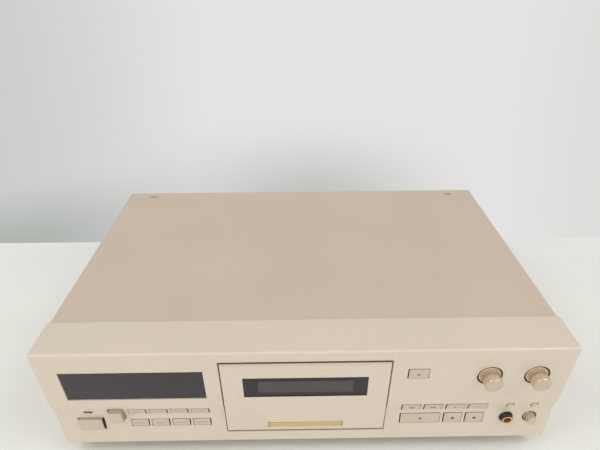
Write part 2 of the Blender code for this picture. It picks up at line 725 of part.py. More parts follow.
def build_boards(deck):
    """The two boards behind the front panel, with their display tube, switches and pots."""
    left = piece("front_board_left", board_blank(-BOARD_OUTER, -BOARD_INNER), (0, 0, 0), deck, "board")
    bm = bmesh.new()
    for _, x, drop, _ in function_keys():
        add_switch(bm, x, drop)
    add_switch(bm, POWER_X, POWER_DROP)
    stacked(bm, (DISPLAY_X, -(DISPLAY_DROP + DISPLAY_HEIGHT / 2)), [
        (depth, DISPLAY_WIDTH / 2 - TUBE_INSET, DISPLAY_HEIGHT / 2 - TUBE_INSET / 2)
        for depth in (BOARD_DEPTH - TUBE_THICKNESS, BOARD_DEPTH + BOARD_THICKNESS / 2)
    ])
    join(left, bm)

    right = piece("front_board_right", board_blank(BOARD_INNER, BOARD_OUTER), (0, 0, 0), deck, "board")
    bm = bmesh.new()
    for _, x, drop, _, _ in transport_keys():
        add_switch(bm, x, drop)
    for _, x, drop in round_buttons():
        add_switch(bm, x, drop)
    add_switch(bm, EJECT_X, DISPLAY_DROP + EJECT_HEIGHT / 2)
    pots = (
        (KNOB_1_X, KNOB_CENTRE_DROP, POT_RADIUS),
        (KNOB_2_X, KNOB_CENTRE_DROP, POT_RADIUS),
        (LEVEL_X, ROW_2_DROP, LEVEL_POT_RADIUS),
    )
    for x, drop, radius in pots:
        profile = ((BOARD_DEPTH - POT_HEIGHT, radius), (BOARD_DEPTH + BOARD_THICKNESS / 2, radius))
        turned(bm, "Y", (x, -drop), profile, SMALL_STEPS)
    join(right, bm)
    bm = bmesh.new()
    ends = (BOARD_DEPTH - OVERRUN, BOARD_DEPTH + BOARD_THICKNESS + OVERRUN)
    hole = [(depth, JACK_RADIUS + GAP) for depth in ends]
    turned(bm, "Y", (JACK_X, -ROW_2_DROP), hole)
    cut(right, bm)


def key_sections(front, half_width, half_height, travel, side_gap=0):
    """Gives a key's sections: chamfered cap, flange behind the wall and stem."""
    flange = FASCIA_BACK + GAP
    back = flange + KEY_FLANGE_THICKNESS
    wide = half_width - KEY_SIDE_GAP - side_gap
    side = KEY_FLANGE_SIDE + side_gap
    high = half_height - KEY_GAP
    stem_end = BOARD_DEPTH - SWITCH_HEIGHT - GAP - travel
    return [
        (front, wide - CHAMFER, high - CHAMFER),
        (front + CHAMFER, wide, high),
        (flange, wide, high),
        (flange, wide + side, high + KEY_FLANGE),
        (back, wide + side, high + KEY_FLANGE),
        (back, STEM_HALF, STEM_HALF),
        (stem_end, STEM_HALF, STEM_HALF),
    ]


def build_keys(deck):
    """Function, transport and eject keys: each slides in its hole, and leans with the panel."""
    keys = []
    for number, x, drop, half_height in function_keys():
        name = f"function_key_{number}"
        keys.append((name, x, drop, FUNCTION_HOLE_WIDTH / 2, half_height, KEY_PROUD, KEY_TRAVEL))
    for name, x, drop, half_width, half_height in transport_keys():
        keys.append((name, x, drop, half_width, half_height, TRANSPORT_PROUD, KEY_TRAVEL))
    eject_drop = DISPLAY_DROP + EJECT_HEIGHT / 2
    halves = (EJECT_WIDTH / 2, EJECT_HEIGHT / 2)
    keys.append(("eject_button", EJECT_X, eject_drop, *halves, EJECT_PROUD, EJECT_TRAVEL))
    for name, x, drop, half_width, half_height, proud, travel in keys:
        front = face_depth(drop) - proud
        bm = bmesh.new()
        stacked(bm, (x, -drop), key_sections(front, half_width, half_height, travel))
        for vert in bm.verts:
            if vert.co.y < FASCIA_BACK:
                vert.co.y += face_depth(-vert.co.z) - face_depth(drop)
        piece(name, bm, (x, front, -drop), deck, "key")


def build_power_and_timer(deck):
    """Latching power button with two ridges, and the timer's sliding cap."""
    front = face_depth(POWER_DROP) - POWER_PROUD
    halves = (POWER_WIDTH / 2, POWER_HEIGHT / 2)
    sections = key_sections(front, *halves, POWER_TRAVEL, POWER_SIDE_GAP)
    bm = bmesh.new()
    stacked(bm, (POWER_X, -POWER_DROP), sections)
    power = piece("power_button", bm, (POWER_X, front, -POWER_DROP), deck, "key")
    half_width = POWER_WIDTH / 2 - KEY_SIDE_GAP - POWER_SIDE_GAP - CHAMFER
    ridges = bmesh.new()
    for rise_share in (0.62, -0.12):
        foot = -POWER_DROP + POWER_HEIGHT / 2 * rise_share - POWER_RIDGE
        ridge = [
            (front + POWER_RIDGE, foot - POWER_RIDGE),
            (front + POWER_RIDGE, foot + POWER_RIDGE),
            (front - POWER_RIDGE, foot),
        ]
        prism(ridges, "X", ridge, POWER_X - half_width, POWER_X + half_width)
    join(power, ridges)

    drop = ROW_1_DROP + TIMER_BELOW_ROW_1
    front = face_depth(drop) - TIMER_PROUD
    half_width = (TIMER_SLOT_WIDTH - TIMER_TRAVEL) / 2 - KEY_GAP
    half_height = TIMER_SLOT_HEIGHT / 2 - KEY_GAP
    x = TIMER_X + TIMER_TRAVEL / 2
    reach = TIMER_TRAVEL + KEY_FLANGE_SIDE
    flange = FASCIA_BACK + GAP
    back = flange + KEY_FLANGE_THICKNESS
    bm = bmesh.new()
    stacked(bm, (x, -drop), (
        (front, half_width - CHAMFER, half_height - CHAMFER),
        (front + CHAMFER, half_width, half_height),
        (flange, half_width, half_height),
        (flange, half_width + reach, half_height + KEY_FLANGE),
        (back, half_width + reach, half_height + KEY_FLANGE),
    ))
    piece("timer_slider", bm, (x, front, -drop), deck, "key")


def build_knobs(deck):
    """Two level knobs, the phones level knob and two small round buttons."""
    skirt = KNOB_HOLE_RADIUS - KNOB_CLEARANCE
    pot = BOARD_DEPTH - POT_HEIGHT - GAP
    for name, x in (("input_level_knob", KNOB_1_X), ("balance_knob", KNOB_2_X)):
        bm = bmesh.new()
        turned(bm, "Y", (x, -KNOB_CENTRE_DROP), (
            (-KNOB_REACH, KNOB_RADIUS - CHAMFER),
            (CHAMFER - KNOB_REACH, KNOB_RADIUS),
            (0, KNOB_RADIUS),
            (0, skirt),
            (KNOB_SKIRT_DEPTH, skirt),
            (KNOB_SKIRT_DEPTH, KNOB_SHAFT_RADIUS),
            (pot, KNOB_SHAFT_RADIUS),
        ))
        piece(name, bm, (x, 0, -KNOB_CENTRE_DROP), deck, "knob")

    drop = ROW_2_DROP
    face = face_depth(drop)
    skirt = LEVEL_HOLE_RADIUS - KNOB_CLEARANCE
    bm = bmesh.new()
    turned(bm, "Y", (LEVEL_X, -drop), (
        (-LEVEL_KNOB_REACH, LEVEL_KNOB_RADIUS - CHAMFER),
        (CHAMFER - LEVEL_KNOB_REACH, LEVEL_KNOB_RADIUS),
        (face + GAP, LEVEL_KNOB_RADIUS),
        (face + GAP, skirt),
        (FASCIA_BACK, skirt),
        (FASCIA_BACK, KNOB_SHAFT_RADIUS),
        (pot, KNOB_SHAFT_RADIUS),
    ), SMALL_STEPS)
    piece("phones_level_knob", bm, (LEVEL_X, 0, -drop), deck, "knob")

    flange = FASCIA_BACK + GAP
    back = flange + KEY_FLANGE_THICKNESS
    for name, x, drop in round_buttons():
        front = face_depth(drop) - ROUND_BUTTON_PROUD
        bm = bmesh.new()
        turned(bm, "Y", (x, -drop), (
            (front, ROUND_BUTTON_RADIUS - CHAMFER),
            (front + CHAMFER, ROUND_BUTTON_RADIUS),
            (flange, ROUND_BUTTON_RADIUS),
            (flange, ROUND_BUTTON_RADIUS + ROUND_BUTTON_GAP + ROUND_BUTTON_LIP),
            (back, ROUND_BUTTON_RADIUS + ROUND_BUTTON_GAP + ROUND_BUTTON_LIP),
            (back, STEM_HALF),
            (BOARD_DEPTH - SWITCH_HEIGHT - GAP - KEY_TRAVEL, STEM_HALF),
        ), SMALL_STEPS)
        piece(name, bm, (x, front, -drop), deck, "key")


def build_phones_jack(deck):
    """Quarter-inch phones jack: dark collar, gilt sleeve and a blind bore."""
    drop = ROW_2_DROP
    collar = face_depth(drop) - GAP
    body = FASCIA_DEPTH - GAP
    bm = bmesh.new()
    turned(bm, "Y", (JACK_X, -drop), (
        (body - JACK_BASE, JACK_BORE_RADIUS),
        (-JACK_REACH, JACK_BORE_RADIUS),
        (-JACK_REACH, JACK_SLEEVE_RADIUS - CHAMFER),
        (CHAMFER - JACK_REACH, JACK_SLEEVE_RADIUS),
        (collar, JACK_SLEEVE_RADIUS),
        (collar, JACK_RADIUS),
        (body, JACK_RADIUS),
    ), 24)
    piece("phones_jack", bm, (JACK_X, 0, -drop), deck, "black")


def build_door(deck):
    """Door panel with its window, name strip and cassette holder, on a hinge at its foot."""
    hinge = (0, HINGE_DEPTH, -HINGE_DROP)
    door = anchor("door", hinge, deck)
    half = DOOR_HALF - DOOR_GAP
    top = -DOOR_DROP - DOOR_GAP
    foot = DOOR_FOOT_GAP - DOOR_FOOT_DROP
    outline = [
        (DOOR_THICKNESS, top),
        (DOOR_BEVEL_DEPTH, top),
        (0, top - DOOR_BEVEL_HEIGHT),
        *arc((DOOR_FOOT_RADIUS, foot + DOOR_FOOT_RADIUS), DOOR_FOOT_RADIUS, 180, 270),
        (DOOR_THICKNESS, foot),
    ]
    bm = bmesh.new()
    prism(bm, "X", outline, -half, half)
    panel = piece("door_panel", bm, hinge, door, "panel")

    knuckles = bmesh.new()
    lug = hinge_outline(HINGE_PIN_RADIUS + GAP + HINGE_WALL, DOOR_THICKNESS / 2)
    for side in (-1, 1):
        prism(knuckles, "X", lug, side * (half - KNUCKLE_LENGTH), side * half)
    join(panel, knuckles)

    openings = bmesh.new()
    window_z = -DOOR_DROP - WINDOW_BELOW_DOOR_TOP - WINDOW_HEIGHT / 2
    stacked(openings, (0, window_z), [
        (depth, WINDOW_WIDTH / 2, WINDOW_HEIGHT / 2)
        for depth in (-OVERRUN, DOOR_THICKNESS + OVERRUN)
    ])
    badge_z = BADGE_FROM_FOOT + BADGE_HEIGHT / 2 - DOOR_FOOT_DROP
    stacked(openings, (0, badge_z), [
        (depth, BADGE_WIDTH / 2 + GAP, BADGE_HEIGHT / 2 + GAP) for depth in (-OVERRUN, BADGE_POCKET)
    ])
    for side in (-1, 1):
        ends = (side * (half - KNUCKLE_LENGTH - OVERRUN), side * (half + OVERRUN))
        profile = [(station, HINGE_PIN_RADIUS + GAP) for station in ends]
        turned(openings, "X", (HINGE_DEPTH, -HINGE_DROP), profile, SMALL_STEPS)
    cut(panel, openings)

    bm = bmesh.new()
    depths = (WINDOW_RECESS, WINDOW_RECESS + WINDOW_THICKNESS)
    halves = (WINDOW_WIDTH / 2 - GAP, WINDOW_HEIGHT / 2 - GAP)
    stacked(bm, (0, window_z), [(depth, *halves) for depth in depths])
    piece("door_window", bm, hinge, door, "smoke")

    bm = bmesh.new()
    front = BADGE_POCKET - GAP - BADGE_THICKNESS
    stacked(bm, (0, badge_z), (
        (front, BADGE_WIDTH / 2 - GAP, BADGE_HEIGHT / 2 - GAP),
        (front + GAP, BADGE_WIDTH / 2, BADGE_HEIGHT / 2),
        (front + BADGE_THICKNESS, BADGE_WIDTH / 2, BADGE_HEIGHT / 2),
    ))
    piece("door_badge", bm, hinge, door, "gilt")
    build_holder(hinge, door, window_z)


def build_holder(hinge, door, window_z):
    """Sheet holder behind the door: two channels, a windowed front and two ledges."""
    inner = CASSETTE_WIDTH / 2 + HOLDER_PLAY
    outer = inner + HOLDER_SHEET
    lip = inner - HOLDER_LIP
    top = -DOOR_DROP - HOLDER_BELOW_DOOR_TOP
    floor = -CASSETTE_FOOT_DROP - GAP
    foot = floor - HOLDER_SHEET
    half_section = [
        (lip, HOLDER_BACK),
        (outer, HOLDER_BACK),
        (outer, HOLDER_DEPTH),
    ]
    inner_section = [
        (inner, CASSETTE_DEPTH),
        (inner, HOLDER_LIP_DEPTH),
        (lip, HOLDER_LIP_DEPTH),
    ]
    outline = half_section + [(-x, depth) for x, depth in reversed(half_section)]
    outline += [(-x, depth) for x, depth in reversed(inner_section)] + inner_section
    bm = bmesh.new()
    prism(bm, "Z", outline, foot, top)
    holder = piece("cassette_holder", bm, hinge, door, "black")

    ledges = bmesh.new()
    buried = HOLDER_SHEET / 2
    for side in (-1, 1):
        low = min(side * (inner - HOLDER_LEDGE), side * (inner + buried))
        high = max(side * (inner - HOLDER_LEDGE), side * (inner + buried))
        block(ledges, (low, CASSETTE_DEPTH - buried, foot), (high, HOLDER_LIP_DEPTH + buried, floor))
    join(holder, ledges)
    bm = bmesh.new()
    stacked(bm, (0, window_z), [
        (depth, HOLDER_WINDOW_WIDTH / 2, HOLDER_WINDOW_HEIGHT / 2)
        for depth in (HOLDER_DEPTH - OVERRUN, CASSETTE_DEPTH + OVERRUN)
    ])
    cut(holder, bm)


def build_plate(deck):
    """Mechanism plate: a hat section with bearing housings for the capstans."""
    inner = DOOR_HALF - PLATE_SIDE
    ear = inner + PLATE_EAR
    back = FRAME_DEPTH - GAP
    skin_depth = PLATE_THICKNESS
    right = [
        (ear, back - skin_depth),
        (ear, back),
        (inner - skin_depth, back),
        (inner - skin_depth, PLATE_BACK),
    ]
    left = [
        (inner, back - skin_depth),
        (inner, PLATE_DEPTH),
    ]
    outline = right + [(-x, depth) for x, depth in reversed(right)]
    outline += [(-x, depth) for x, depth in left] + list(reversed(left))
    top = -DOOR_DROP - PLATE_MARGIN
    foot = RIM_WALL + PLATE_FOOT_MARGIN - FASCIA_HEIGHT
    bm = bmesh.new()
    prism(bm, "Z", outline, foot, top)
    plate = piece("mechanism_plate", bm, (0, PLATE_DEPTH, -HUB_DROP), deck, "steel")

    housings = bmesh.new()
    holes = bmesh.new()
    for side in (-1, 1):
        centre = (side * CAPSTAN_SPACING / 2, -CAPSTAN_DROP)
        shape = ((PLATE_BACK - PLATE_THICKNESS / 2, HOUSING_RADIUS), (HOUSING_BACK, HOUSING_RADIUS))
        turned(housings, "Y", centre, shape, SMALL_STEPS)
        ends = (PLATE_DEPTH - OVERRUN, HOUSING_BACK + OVERRUN)
        turned(holes, "Y", centre, [(depth, CAPSTAN_RADIUS + GAP) for depth in ends], SMALL_STEPS)
    ends = (PLATE_DEPTH - OVERRUN, PLATE_BACK + OVERRUN)
    axles = [(side * HUB_SPACING / 2, -HUB_DROP) for side in (-1, 1)] + [(0, -REEL_MOTOR_DROP)]
    for centre in axles:
        turned(holes, "Y", centre, [(depth, AXLE_RADIUS + GAP) for depth in ends], SMALL_STEPS)
    join(plate, housings)
    cut(plate, holes)


def build_reels(deck):
    """Two reel tables with finned spindles, each on its own axle."""
    for name, side in (("reel_table_left", -1), ("reel_table_right", 1)):
        centre = (side * HUB_SPACING / 2, -HUB_DROP)
        tip = CASSETTE_DEPTH + SPINDLE_FROM_FRONT
        sections = [
            (tip, SPINDLE_TIP, SPINDLE_TIP),
            (tip + SPINDLE_FROM_FRONT, SPINDLE_RADIUS, SPINDLE_FIN_RADIUS),
            (HOLDER_LIP_DEPTH - GAP, SPINDLE_RADIUS, SPINDLE_FIN_RADIUS),
            (HOLDER_LIP_DEPTH, SPINDLE_FIN_RADIUS, SPINDLE_FIN_RADIUS),
            (REEL_DEPTH, SPINDLE_FIN_RADIUS, SPINDLE_FIN_RADIUS),
            (REEL_DEPTH, REEL_RADIUS, REEL_RADIUS),
            (REEL_DEPTH + REEL_THICKNESS, REEL_RADIUS, REEL_RADIUS),
            (REEL_DEPTH + REEL_THICKNESS, AXLE_RADIUS, AXLE_RADIUS),
            (PLATE_BACK + REEL_THICKNESS, AXLE_RADIUS, AXLE_RADIUS),
        ]
        bm = bmesh.new()
        skin(bm, [finned_ring(centre, *section) for section in sections])
        piece(name, bm, (centre[0], REEL_DEPTH, centre[1]), deck, "black")


def finned_ring(centre, depth, core, fin):
    """Gives a ring of points whose radius steps between a core and its fins."""
    steps = SPINDLE_FINS * 4
    ring = []
    for step in range(steps):
        radius = fin if step % 4 in (0, 1) else core
        angle = 2 * math.pi * step / steps
        across = centre[0] + radius * math.cos(angle)
        ring.append(spot("Y", across, centre[1] + radius * math.sin(angle), depth))
    return ring


def build_reel_drive(deck):
    """Reel motor, its pinion, and an idler wheel on an arm that swings to either reel."""
    pivot = (0, -REEL_MOTOR_DROP)
    wheel = (0, -IDLER_DROP)
    bore = REEL_DEPTH + REEL_THICKNESS / 2
    bm = bmesh.new()
    turned(bm, "Y", pivot, motor_profile(REEL_MOTOR_RADIUS))
    piece("reel_motor", bm, (0, PLATE_BACK, pivot[1]), deck, "steel")

    bm = bmesh.new()
    turned(bm, "Y", pivot, (
        (bore + GAP, AXLE_RADIUS + GAP),
        (REEL_DEPTH, AXLE_RADIUS + GAP),
        (REEL_DEPTH, PINION_RADIUS),
        (REEL_DEPTH + REEL_THICKNESS, PINION_RADIUS),
        (REEL_DEPTH + REEL_THICKNESS, AXLE_RADIUS),
        (PLATE_BACK, AXLE_RADIUS),
    ), SMALL_STEPS)
    piece("reel_pinion", bm, (0, REEL_DEPTH, pivot[1]), deck, "brass")

    arm = anchor("idler_swing", (0, REEL_DEPTH, pivot[1]), deck)
    bm = bmesh.new()
    turned(bm, "Y", wheel, [
        (REEL_DEPTH, AXLE_RADIUS + GAP),
        (REEL_DEPTH, IDLER_RADIUS),
        (REEL_DEPTH + REEL_THICKNESS, IDLER_RADIUS),
        (REEL_DEPTH + REEL_THICKNESS, AXLE_RADIUS + GAP),
    ], 24, closed=True)
    piece("idler_wheel", bm, (0, REEL_DEPTH, wheel[1]), arm, "rubber")

    outline = arc(pivot, ARM_HALF_WIDTH, 180, 360) + arc(wheel, ARM_HALF_WIDTH, 0, 180)
    front = REEL_DEPTH - GAP - ARM_THICKNESS
    bm = bmesh.new()
    prism(bm, "Y", outline, front, REEL_DEPTH - GAP)
    swing = piece("idler_arm", bm, (0, REEL_DEPTH, pivot[1]), arm, "steel")
    pins = bmesh.new()
    for centre in (pivot, wheel):
        profile = ((front + ARM_THICKNESS / 2, AXLE_RADIUS), (bore, AXLE_RADIUS))
        turned(pins, "Y", centre, profile, SMALL_STEPS)
    join(swing, pins)


def motor_profile(radius):
    """Gives a small can motor's profile behind the mechanism plate."""
    front = PLATE_BACK + GAP
    back = front + MOTOR_LENGTH
    return (
        (front, radius),
        (back - MOTOR_ROUND, radius),
        (back, radius - MOTOR_ROUND),
    )


def build_capstans(deck):
    """Capstan motor, pulley, belt and the two flywheels with their capstan shafts."""
    motor = (0, -CAPSTAN_MOTOR_DROP)
    bm = bmesh.new()
    turned(bm, "Y", motor, motor_profile(CAPSTAN_MOTOR_RADIUS))
    piece("capstan_motor", bm, (0, PLATE_BACK, motor[1]), deck, "steel")

    front = PLATE_BACK + GAP + MOTOR_LENGTH + GAP
    bm = bmesh.new()
    turned(bm, "Y", motor, (
        (front, AXLE_RADIUS),
        (FLYWHEEL_DEPTH, AXLE_RADIUS),
        (FLYWHEEL_DEPTH, PULLEY_RADIUS),
        (FLYWHEEL_BACK, PULLEY_RADIUS),
    ), SMALL_STEPS)
    piece("motor_pulley", bm, (0, FLYWHEEL_DEPTH, motor[1]), deck, "brass")

    tip = CASSETTE_DEPTH + SPINDLE_FROM_FRONT
    for name, side in (("flywheel_left", -1), ("flywheel_right", 1)):
        centre = (side * CAPSTAN_SPACING / 2, -CAPSTAN_DROP)
        bm = bmesh.new()
        turned(bm, "Y", centre, (
            (tip, CAPSTAN_RADIUS),
            (FLYWHEEL_DEPTH, CAPSTAN_RADIUS),
            (FLYWHEEL_DEPTH, FLYWHEEL_RADIUS),
            (FLYWHEEL_BACK, FLYWHEEL_RADIUS),
            (FLYWHEEL_BACK, HOUSING_RADIUS),
            (FLYWHEEL_BACK + CAPSTAN_RADIUS, HOUSING_RADIUS),
        ))
        piece(name, bm, (centre[0], FLYWHEEL_DEPTH, centre[1]), deck, "steel")

    wheels = [
        (-CAPSTAN_SPACING / 2, -CAPSTAN_DROP, FLYWHEEL_RADIUS),
        (CAPSTAN_SPACING / 2, -CAPSTAN_DROP, FLYWHEEL_RADIUS),
        (0, -CAPSTAN_MOTOR_DROP, PULLEY_RADIUS),
    ]
    inner = belt_outline(wheels, GAP)
    outer = belt_outline(wheels, GAP + BELT_THICKNESS)
    middle = (FLYWHEEL_DEPTH + FLYWHEEL_BACK) / 2
    near = middle - BELT_WIDTH / 2
    far = middle + BELT_WIDTH / 2
    rings = []
    for outline, depth in ((inner, near), (outer, near), (outer, far), (inner, far)):
        rings.append([spot("Y", x, z, depth) for x, z in outline])
    bm = bmesh.new()
    skin(bm, rings, closed=True)
    piece("drive_belt", bm, (0, middle, -CAPSTAN_DROP), deck, "rubber")


def belt_outline(wheels, extra):
    """Gives the loop of a belt round wheels listed anticlockwise: arcs and straight runs."""
    normals = []
    for here, there in zip(wheels, wheels[1:] + wheels[:1]):
        run = math.hypot(there[0] - here[0], there[1] - here[1])
        heading = math.atan2(there[1] - here[1], there[0] - here[0])
        normals.append(heading - math.acos((here[2] - there[2]) / run))
    points = []
    for index, (x, z, radius) in enumerate(wheels):
        start = normals[index - 1]
        turn = (normals[index] - start) % (2 * math.pi)
        for step in range(2 * ARC_STEPS + 1):
            angle = start + turn * step / (2 * ARC_STEPS)
            reach = radius + extra
            points.append((x + reach * math.cos(angle), z + reach * math.sin(angle)))
    return points


def build_heads(deck):
    """Head base that slides up to the tape, with the head block and two pinch rollers."""
    slide = anchor("head_slide", (0, PLATE_DEPTH, -CASSETTE_FOOT_DROP), deck)
    back = PLATE_DEPTH - GAP
    front = back - HEAD_PLATE_THICKNESS
    top = -CASSETTE_FOOT_DROP - HEAD_PLATE_BELOW_CASSETTE
    half = CAPSTAN_SPACING / 2 + HEAD_PLATE_SIDE
    bm = bmesh.new()
    block(bm, (-half, front, top - HEAD_PLATE_HEIGHT), (half, back, top))
    base = piece("head_base", bm, (0, front, top), slide, "steel")

    fittings = bmesh.new()
    nose = -CASSETTE_FOOT_DROP - HEAD_BELOW_CASSETTE
    face = CASSETTE_DEPTH + HEAD_FROM_FRONT
    shoulder = nose - HEAD_HEIGHT / 4
    outline = [
        (-HEAD_HALF_WIDTH, nose - HEAD_HEIGHT),
        (HEAD_HALF_WIDTH, nose - HEAD_HEIGHT),
        (HEAD_HALF_WIDTH, shoulder),
        (HEAD_HALF_WIDTH - HEAD_NOSE_SET_IN, nose),
        (HEAD_NOSE_SET_IN - HEAD_HALF_WIDTH, nose),
        (-HEAD_HALF_WIDTH, shoulder),
    ]
    buried = front + HEAD_PLATE_THICKNESS / 2
    prism(fittings, "Y", outline, face, buried)
    roller = CASSETTE_DEPTH + PINCH_FROM_FRONT
    for side in (-1, 1):
        centre = (side * CAPSTAN_SPACING / 2, -PINCH_DROP)
        turned(fittings, "Y", centre, (
            (roller - GAP, AXLE_RADIUS),
            (roller + PINCH_LENGTH + GAP, AXLE_RADIUS),
            (roller + PINCH_LENGTH + GAP, 2 * AXLE_RADIUS),
            (buried, 2 * AXLE_RADIUS),
        ), SMALL_STEPS)
    join(base, fittings)

    for name, side in (("pinch_roller_left", -1), ("pinch_roller_right", 1)):
        centre = (side * CAPSTAN_SPACING / 2, -PINCH_DROP)
        ends = (roller, roller + PINCH_LENGTH)
        profile = [
            (ends[0], AXLE_RADIUS + GAP),
            (ends[0], PINCH_RADIUS),
            (ends[1], PINCH_RADIUS),
            (ends[1], AXLE_RADIUS + GAP),
        ]
        bm = bmesh.new()
        turned(bm, "Y", centre, profile, 24, closed=True)
        piece(name, bm, (centre[0], roller, centre[1]), slide, "rubber")


def build_pan(deck):
    """Chassis pan: folded tray with a front frame, and stand-offs for the main board."""
    inner = CHASSIS_HALF - SHEET
    bottom = -FASCIA_HEIGHT
    rim = bottom + CHASSIS_FLANGE
    back = REAR_INNER - GAP
    outline = [
        (-CHASSIS_HALF, bottom),
        (CHASSIS_HALF, bottom),
        (CHASSIS_HALF, rim),
        (inner, rim),
        (inner, PAN_TOP),
        (-inner, PAN_TOP),
        (-inner, rim),
        (-CHASSIS_HALF, rim),
    ]
    bm = bmesh.new()
    prism(bm, "Y", outline, FRAME_DEPTH, back)
    pan = piece("chassis_pan", bm, (0, FRAME_DEPTH, bottom), deck, "steel")

    window = DOOR_HALF - PLATE_SIDE - PLATE_THICKNESS
    top = -COVER_DROP - COVER_SHEET - GAP
    sill = PAN_TOP + FRAME_SILL
    frame = [
        (-CHASSIS_HALF + SHEET / 2, bottom + SHEET / 2),
        (CHASSIS_HALF - SHEET / 2, bottom + SHEET / 2),
        (CHASSIS_HALF - SHEET / 2, top),
        (window, top),
        (window, sill),
        (-window, sill),
        (-window, top),
        (-CHASSIS_HALF + SHEET / 2, top),
    ]
    fittings = bmesh.new()
    prism(fittings, "Y", frame, FRAME_DEPTH, FRAME_DEPTH + SHEET)
    join(pan, fittings)
    stands = bmesh.new()
    profile = ((PAN_TOP - SHEET / 2, STANDOFF_RADIUS), (BOARD_REST - GAP, STANDOFF_RADIUS))
    for x, depth in standoff_places():
        turned(stands, "Z", (x, depth), profile, SMALL_STEPS)
    join(pan, stands)
    holes = bmesh.new()
    for side in (-1, 1):
        ends = (side * (inner - OVERRUN), side * (CHASSIS_HALF + OVERRUN))
        profile = [(station, SCREW_RADIUS + GAP) for station in ends]
        turned(holes, "X", (SCREW_DEPTH, SCREW_RISE - FASCIA_HEIGHT), profile, SMALL_STEPS)
    cut(pan, holes)


def main_board_sides():
    """Gives the main board's left, right, front and back."""
    inner = CHASSIS_HALF - SHEET
    left = -inner + BOARD_TO_SIDE + TRANSFORMER_WIDTH + BOARD_TO_SIDE
    front = max(FLYWHEEL_BACK + CAPSTAN_RADIUS, FRAME_DEPTH + SHEET) + BOARD_TO_MECHANISM
    return left, inner - BOARD_TO_SIDE, front, REAR_INNER - BOARD_TO_REAR


def standoff_places():
    """Gives the stand-offs near the main board's corners."""
    left, right, front, back = main_board_sides()
    columns = (left + STANDOFF_INSET, right - STANDOFF_INSET)
    return [(x, depth) for x in columns for depth in (front + STANDOFF_INSET, back - STANDOFF_INSET)]


def build_cover(deck):
    """Top cover: a folded U of sheet with two small slots near its rear edge."""
    skirt = COVER_SKIRT_RISE - FASCIA_HEIGHT
    corner = (COVER_HALF - COVER_BEND, -COVER_DROP - COVER_BEND)
    inner_bend = COVER_BEND - COVER_SHEET
    right_outer = [(COVER_HALF, skirt), *arc(corner, COVER_BEND, 0, 90)]
    right_inner = [(COVER_HALF - COVER_SHEET, skirt), *arc(corner, inner_bend, 0, 90)]
    outline = right_outer + [(-x, z) for x, z in reversed(right_outer)]
    outline += [(-x, z) for x, z in right_inner] + list(reversed(right_inner))
    bm = bmesh.new()
    prism(bm, "Y", outline, COVER_DEPTH, BODY_DEPTH)
    cover = piece("top_cover", bm, (0, COVER_DEPTH, -COVER_DROP), deck, "cover")

    holes = bmesh.new()
    depth = BODY_DEPTH - COVER_SLOT_FROM_REAR
    for side in (-1, 1):
        x = side * (COVER_HALF - COVER_SLOT_FROM_SIDE)
        low = (x - COVER_SLOT_LENGTH / 2, depth - COVER_SLOT_WIDTH / 2, -COVER_DROP - OVERRUN)
        high = (x + COVER_SLOT_LENGTH / 2, depth + COVER_SLOT_WIDTH / 2, OVERRUN)
        block(holes, low, high)
        ends = (side * (COVER_HALF - COVER_SHEET - OVERRUN), side * (COVER_HALF + OVERRUN))
        profile = [(station, SCREW_RADIUS + GAP) for station in ends]
        turned(holes, "X", (SCREW_DEPTH, SCREW_RISE - FASCIA_HEIGHT), profile, SMALL_STEPS)
    cut(cover, holes)

    seat = COVER_HALF + GAP
    screw_z = SCREW_RISE - FASCIA_HEIGHT
    for name, side in (("cover_screw_left", -1), ("cover_screw_right", 1)):
        bm = bmesh.new()
        turned(bm, "X", (SCREW_DEPTH, screw_z), (
            (side * (seat + SCREW_HEAD), SCREW_HEAD_RADIUS - SCREW_HEAD / 2),
            (side * (seat + SCREW_HEAD / 2), SCREW_HEAD_RADIUS),
            (side * seat, SCREW_HEAD_RADIUS),
            (side * seat, SCREW_RADIUS),
            (side * (seat - SCREW_LENGTH), SCREW_RADIUS),
        ), SMALL_STEPS)
        piece(name, bm, (side * seat, SCREW_DEPTH, screw_z), deck, "steel")


def build_feet(deck):
    """Four moulded feet under the pan."""
    floor = -TOP_Z
    top = -FASCIA_HEIGHT - GAP
    inset = FOOT_FROM_END + FOOT_RADIUS
    for row, depth in (("front", FRAME_DEPTH + inset), ("rear", REAR_INNER - inset)):
        for column, side in (("left", -1), ("right", 1)):
            x = side * (CHASSIS_HALF - FOOT_FROM_SIDE - FOOT_RADIUS)
            bm = bmesh.new()
            turned(bm, "Z", (x, depth), (
                (floor + FOOT_RECESS_DEPTH, FOOT_RECESS_RADIUS),
                (floor, FOOT_RECESS_RADIUS),
                (floor, FOOT_RADIUS - FOOT_TAPER - CHAMFER),
                (floor + CHAMFER, FOOT_RADIUS - FOOT_TAPER),
                (top, FOOT_RADIUS),
            ))
            piece(f"foot_{row}_{column}", bm, (x, depth, floor), deck, "rubber")


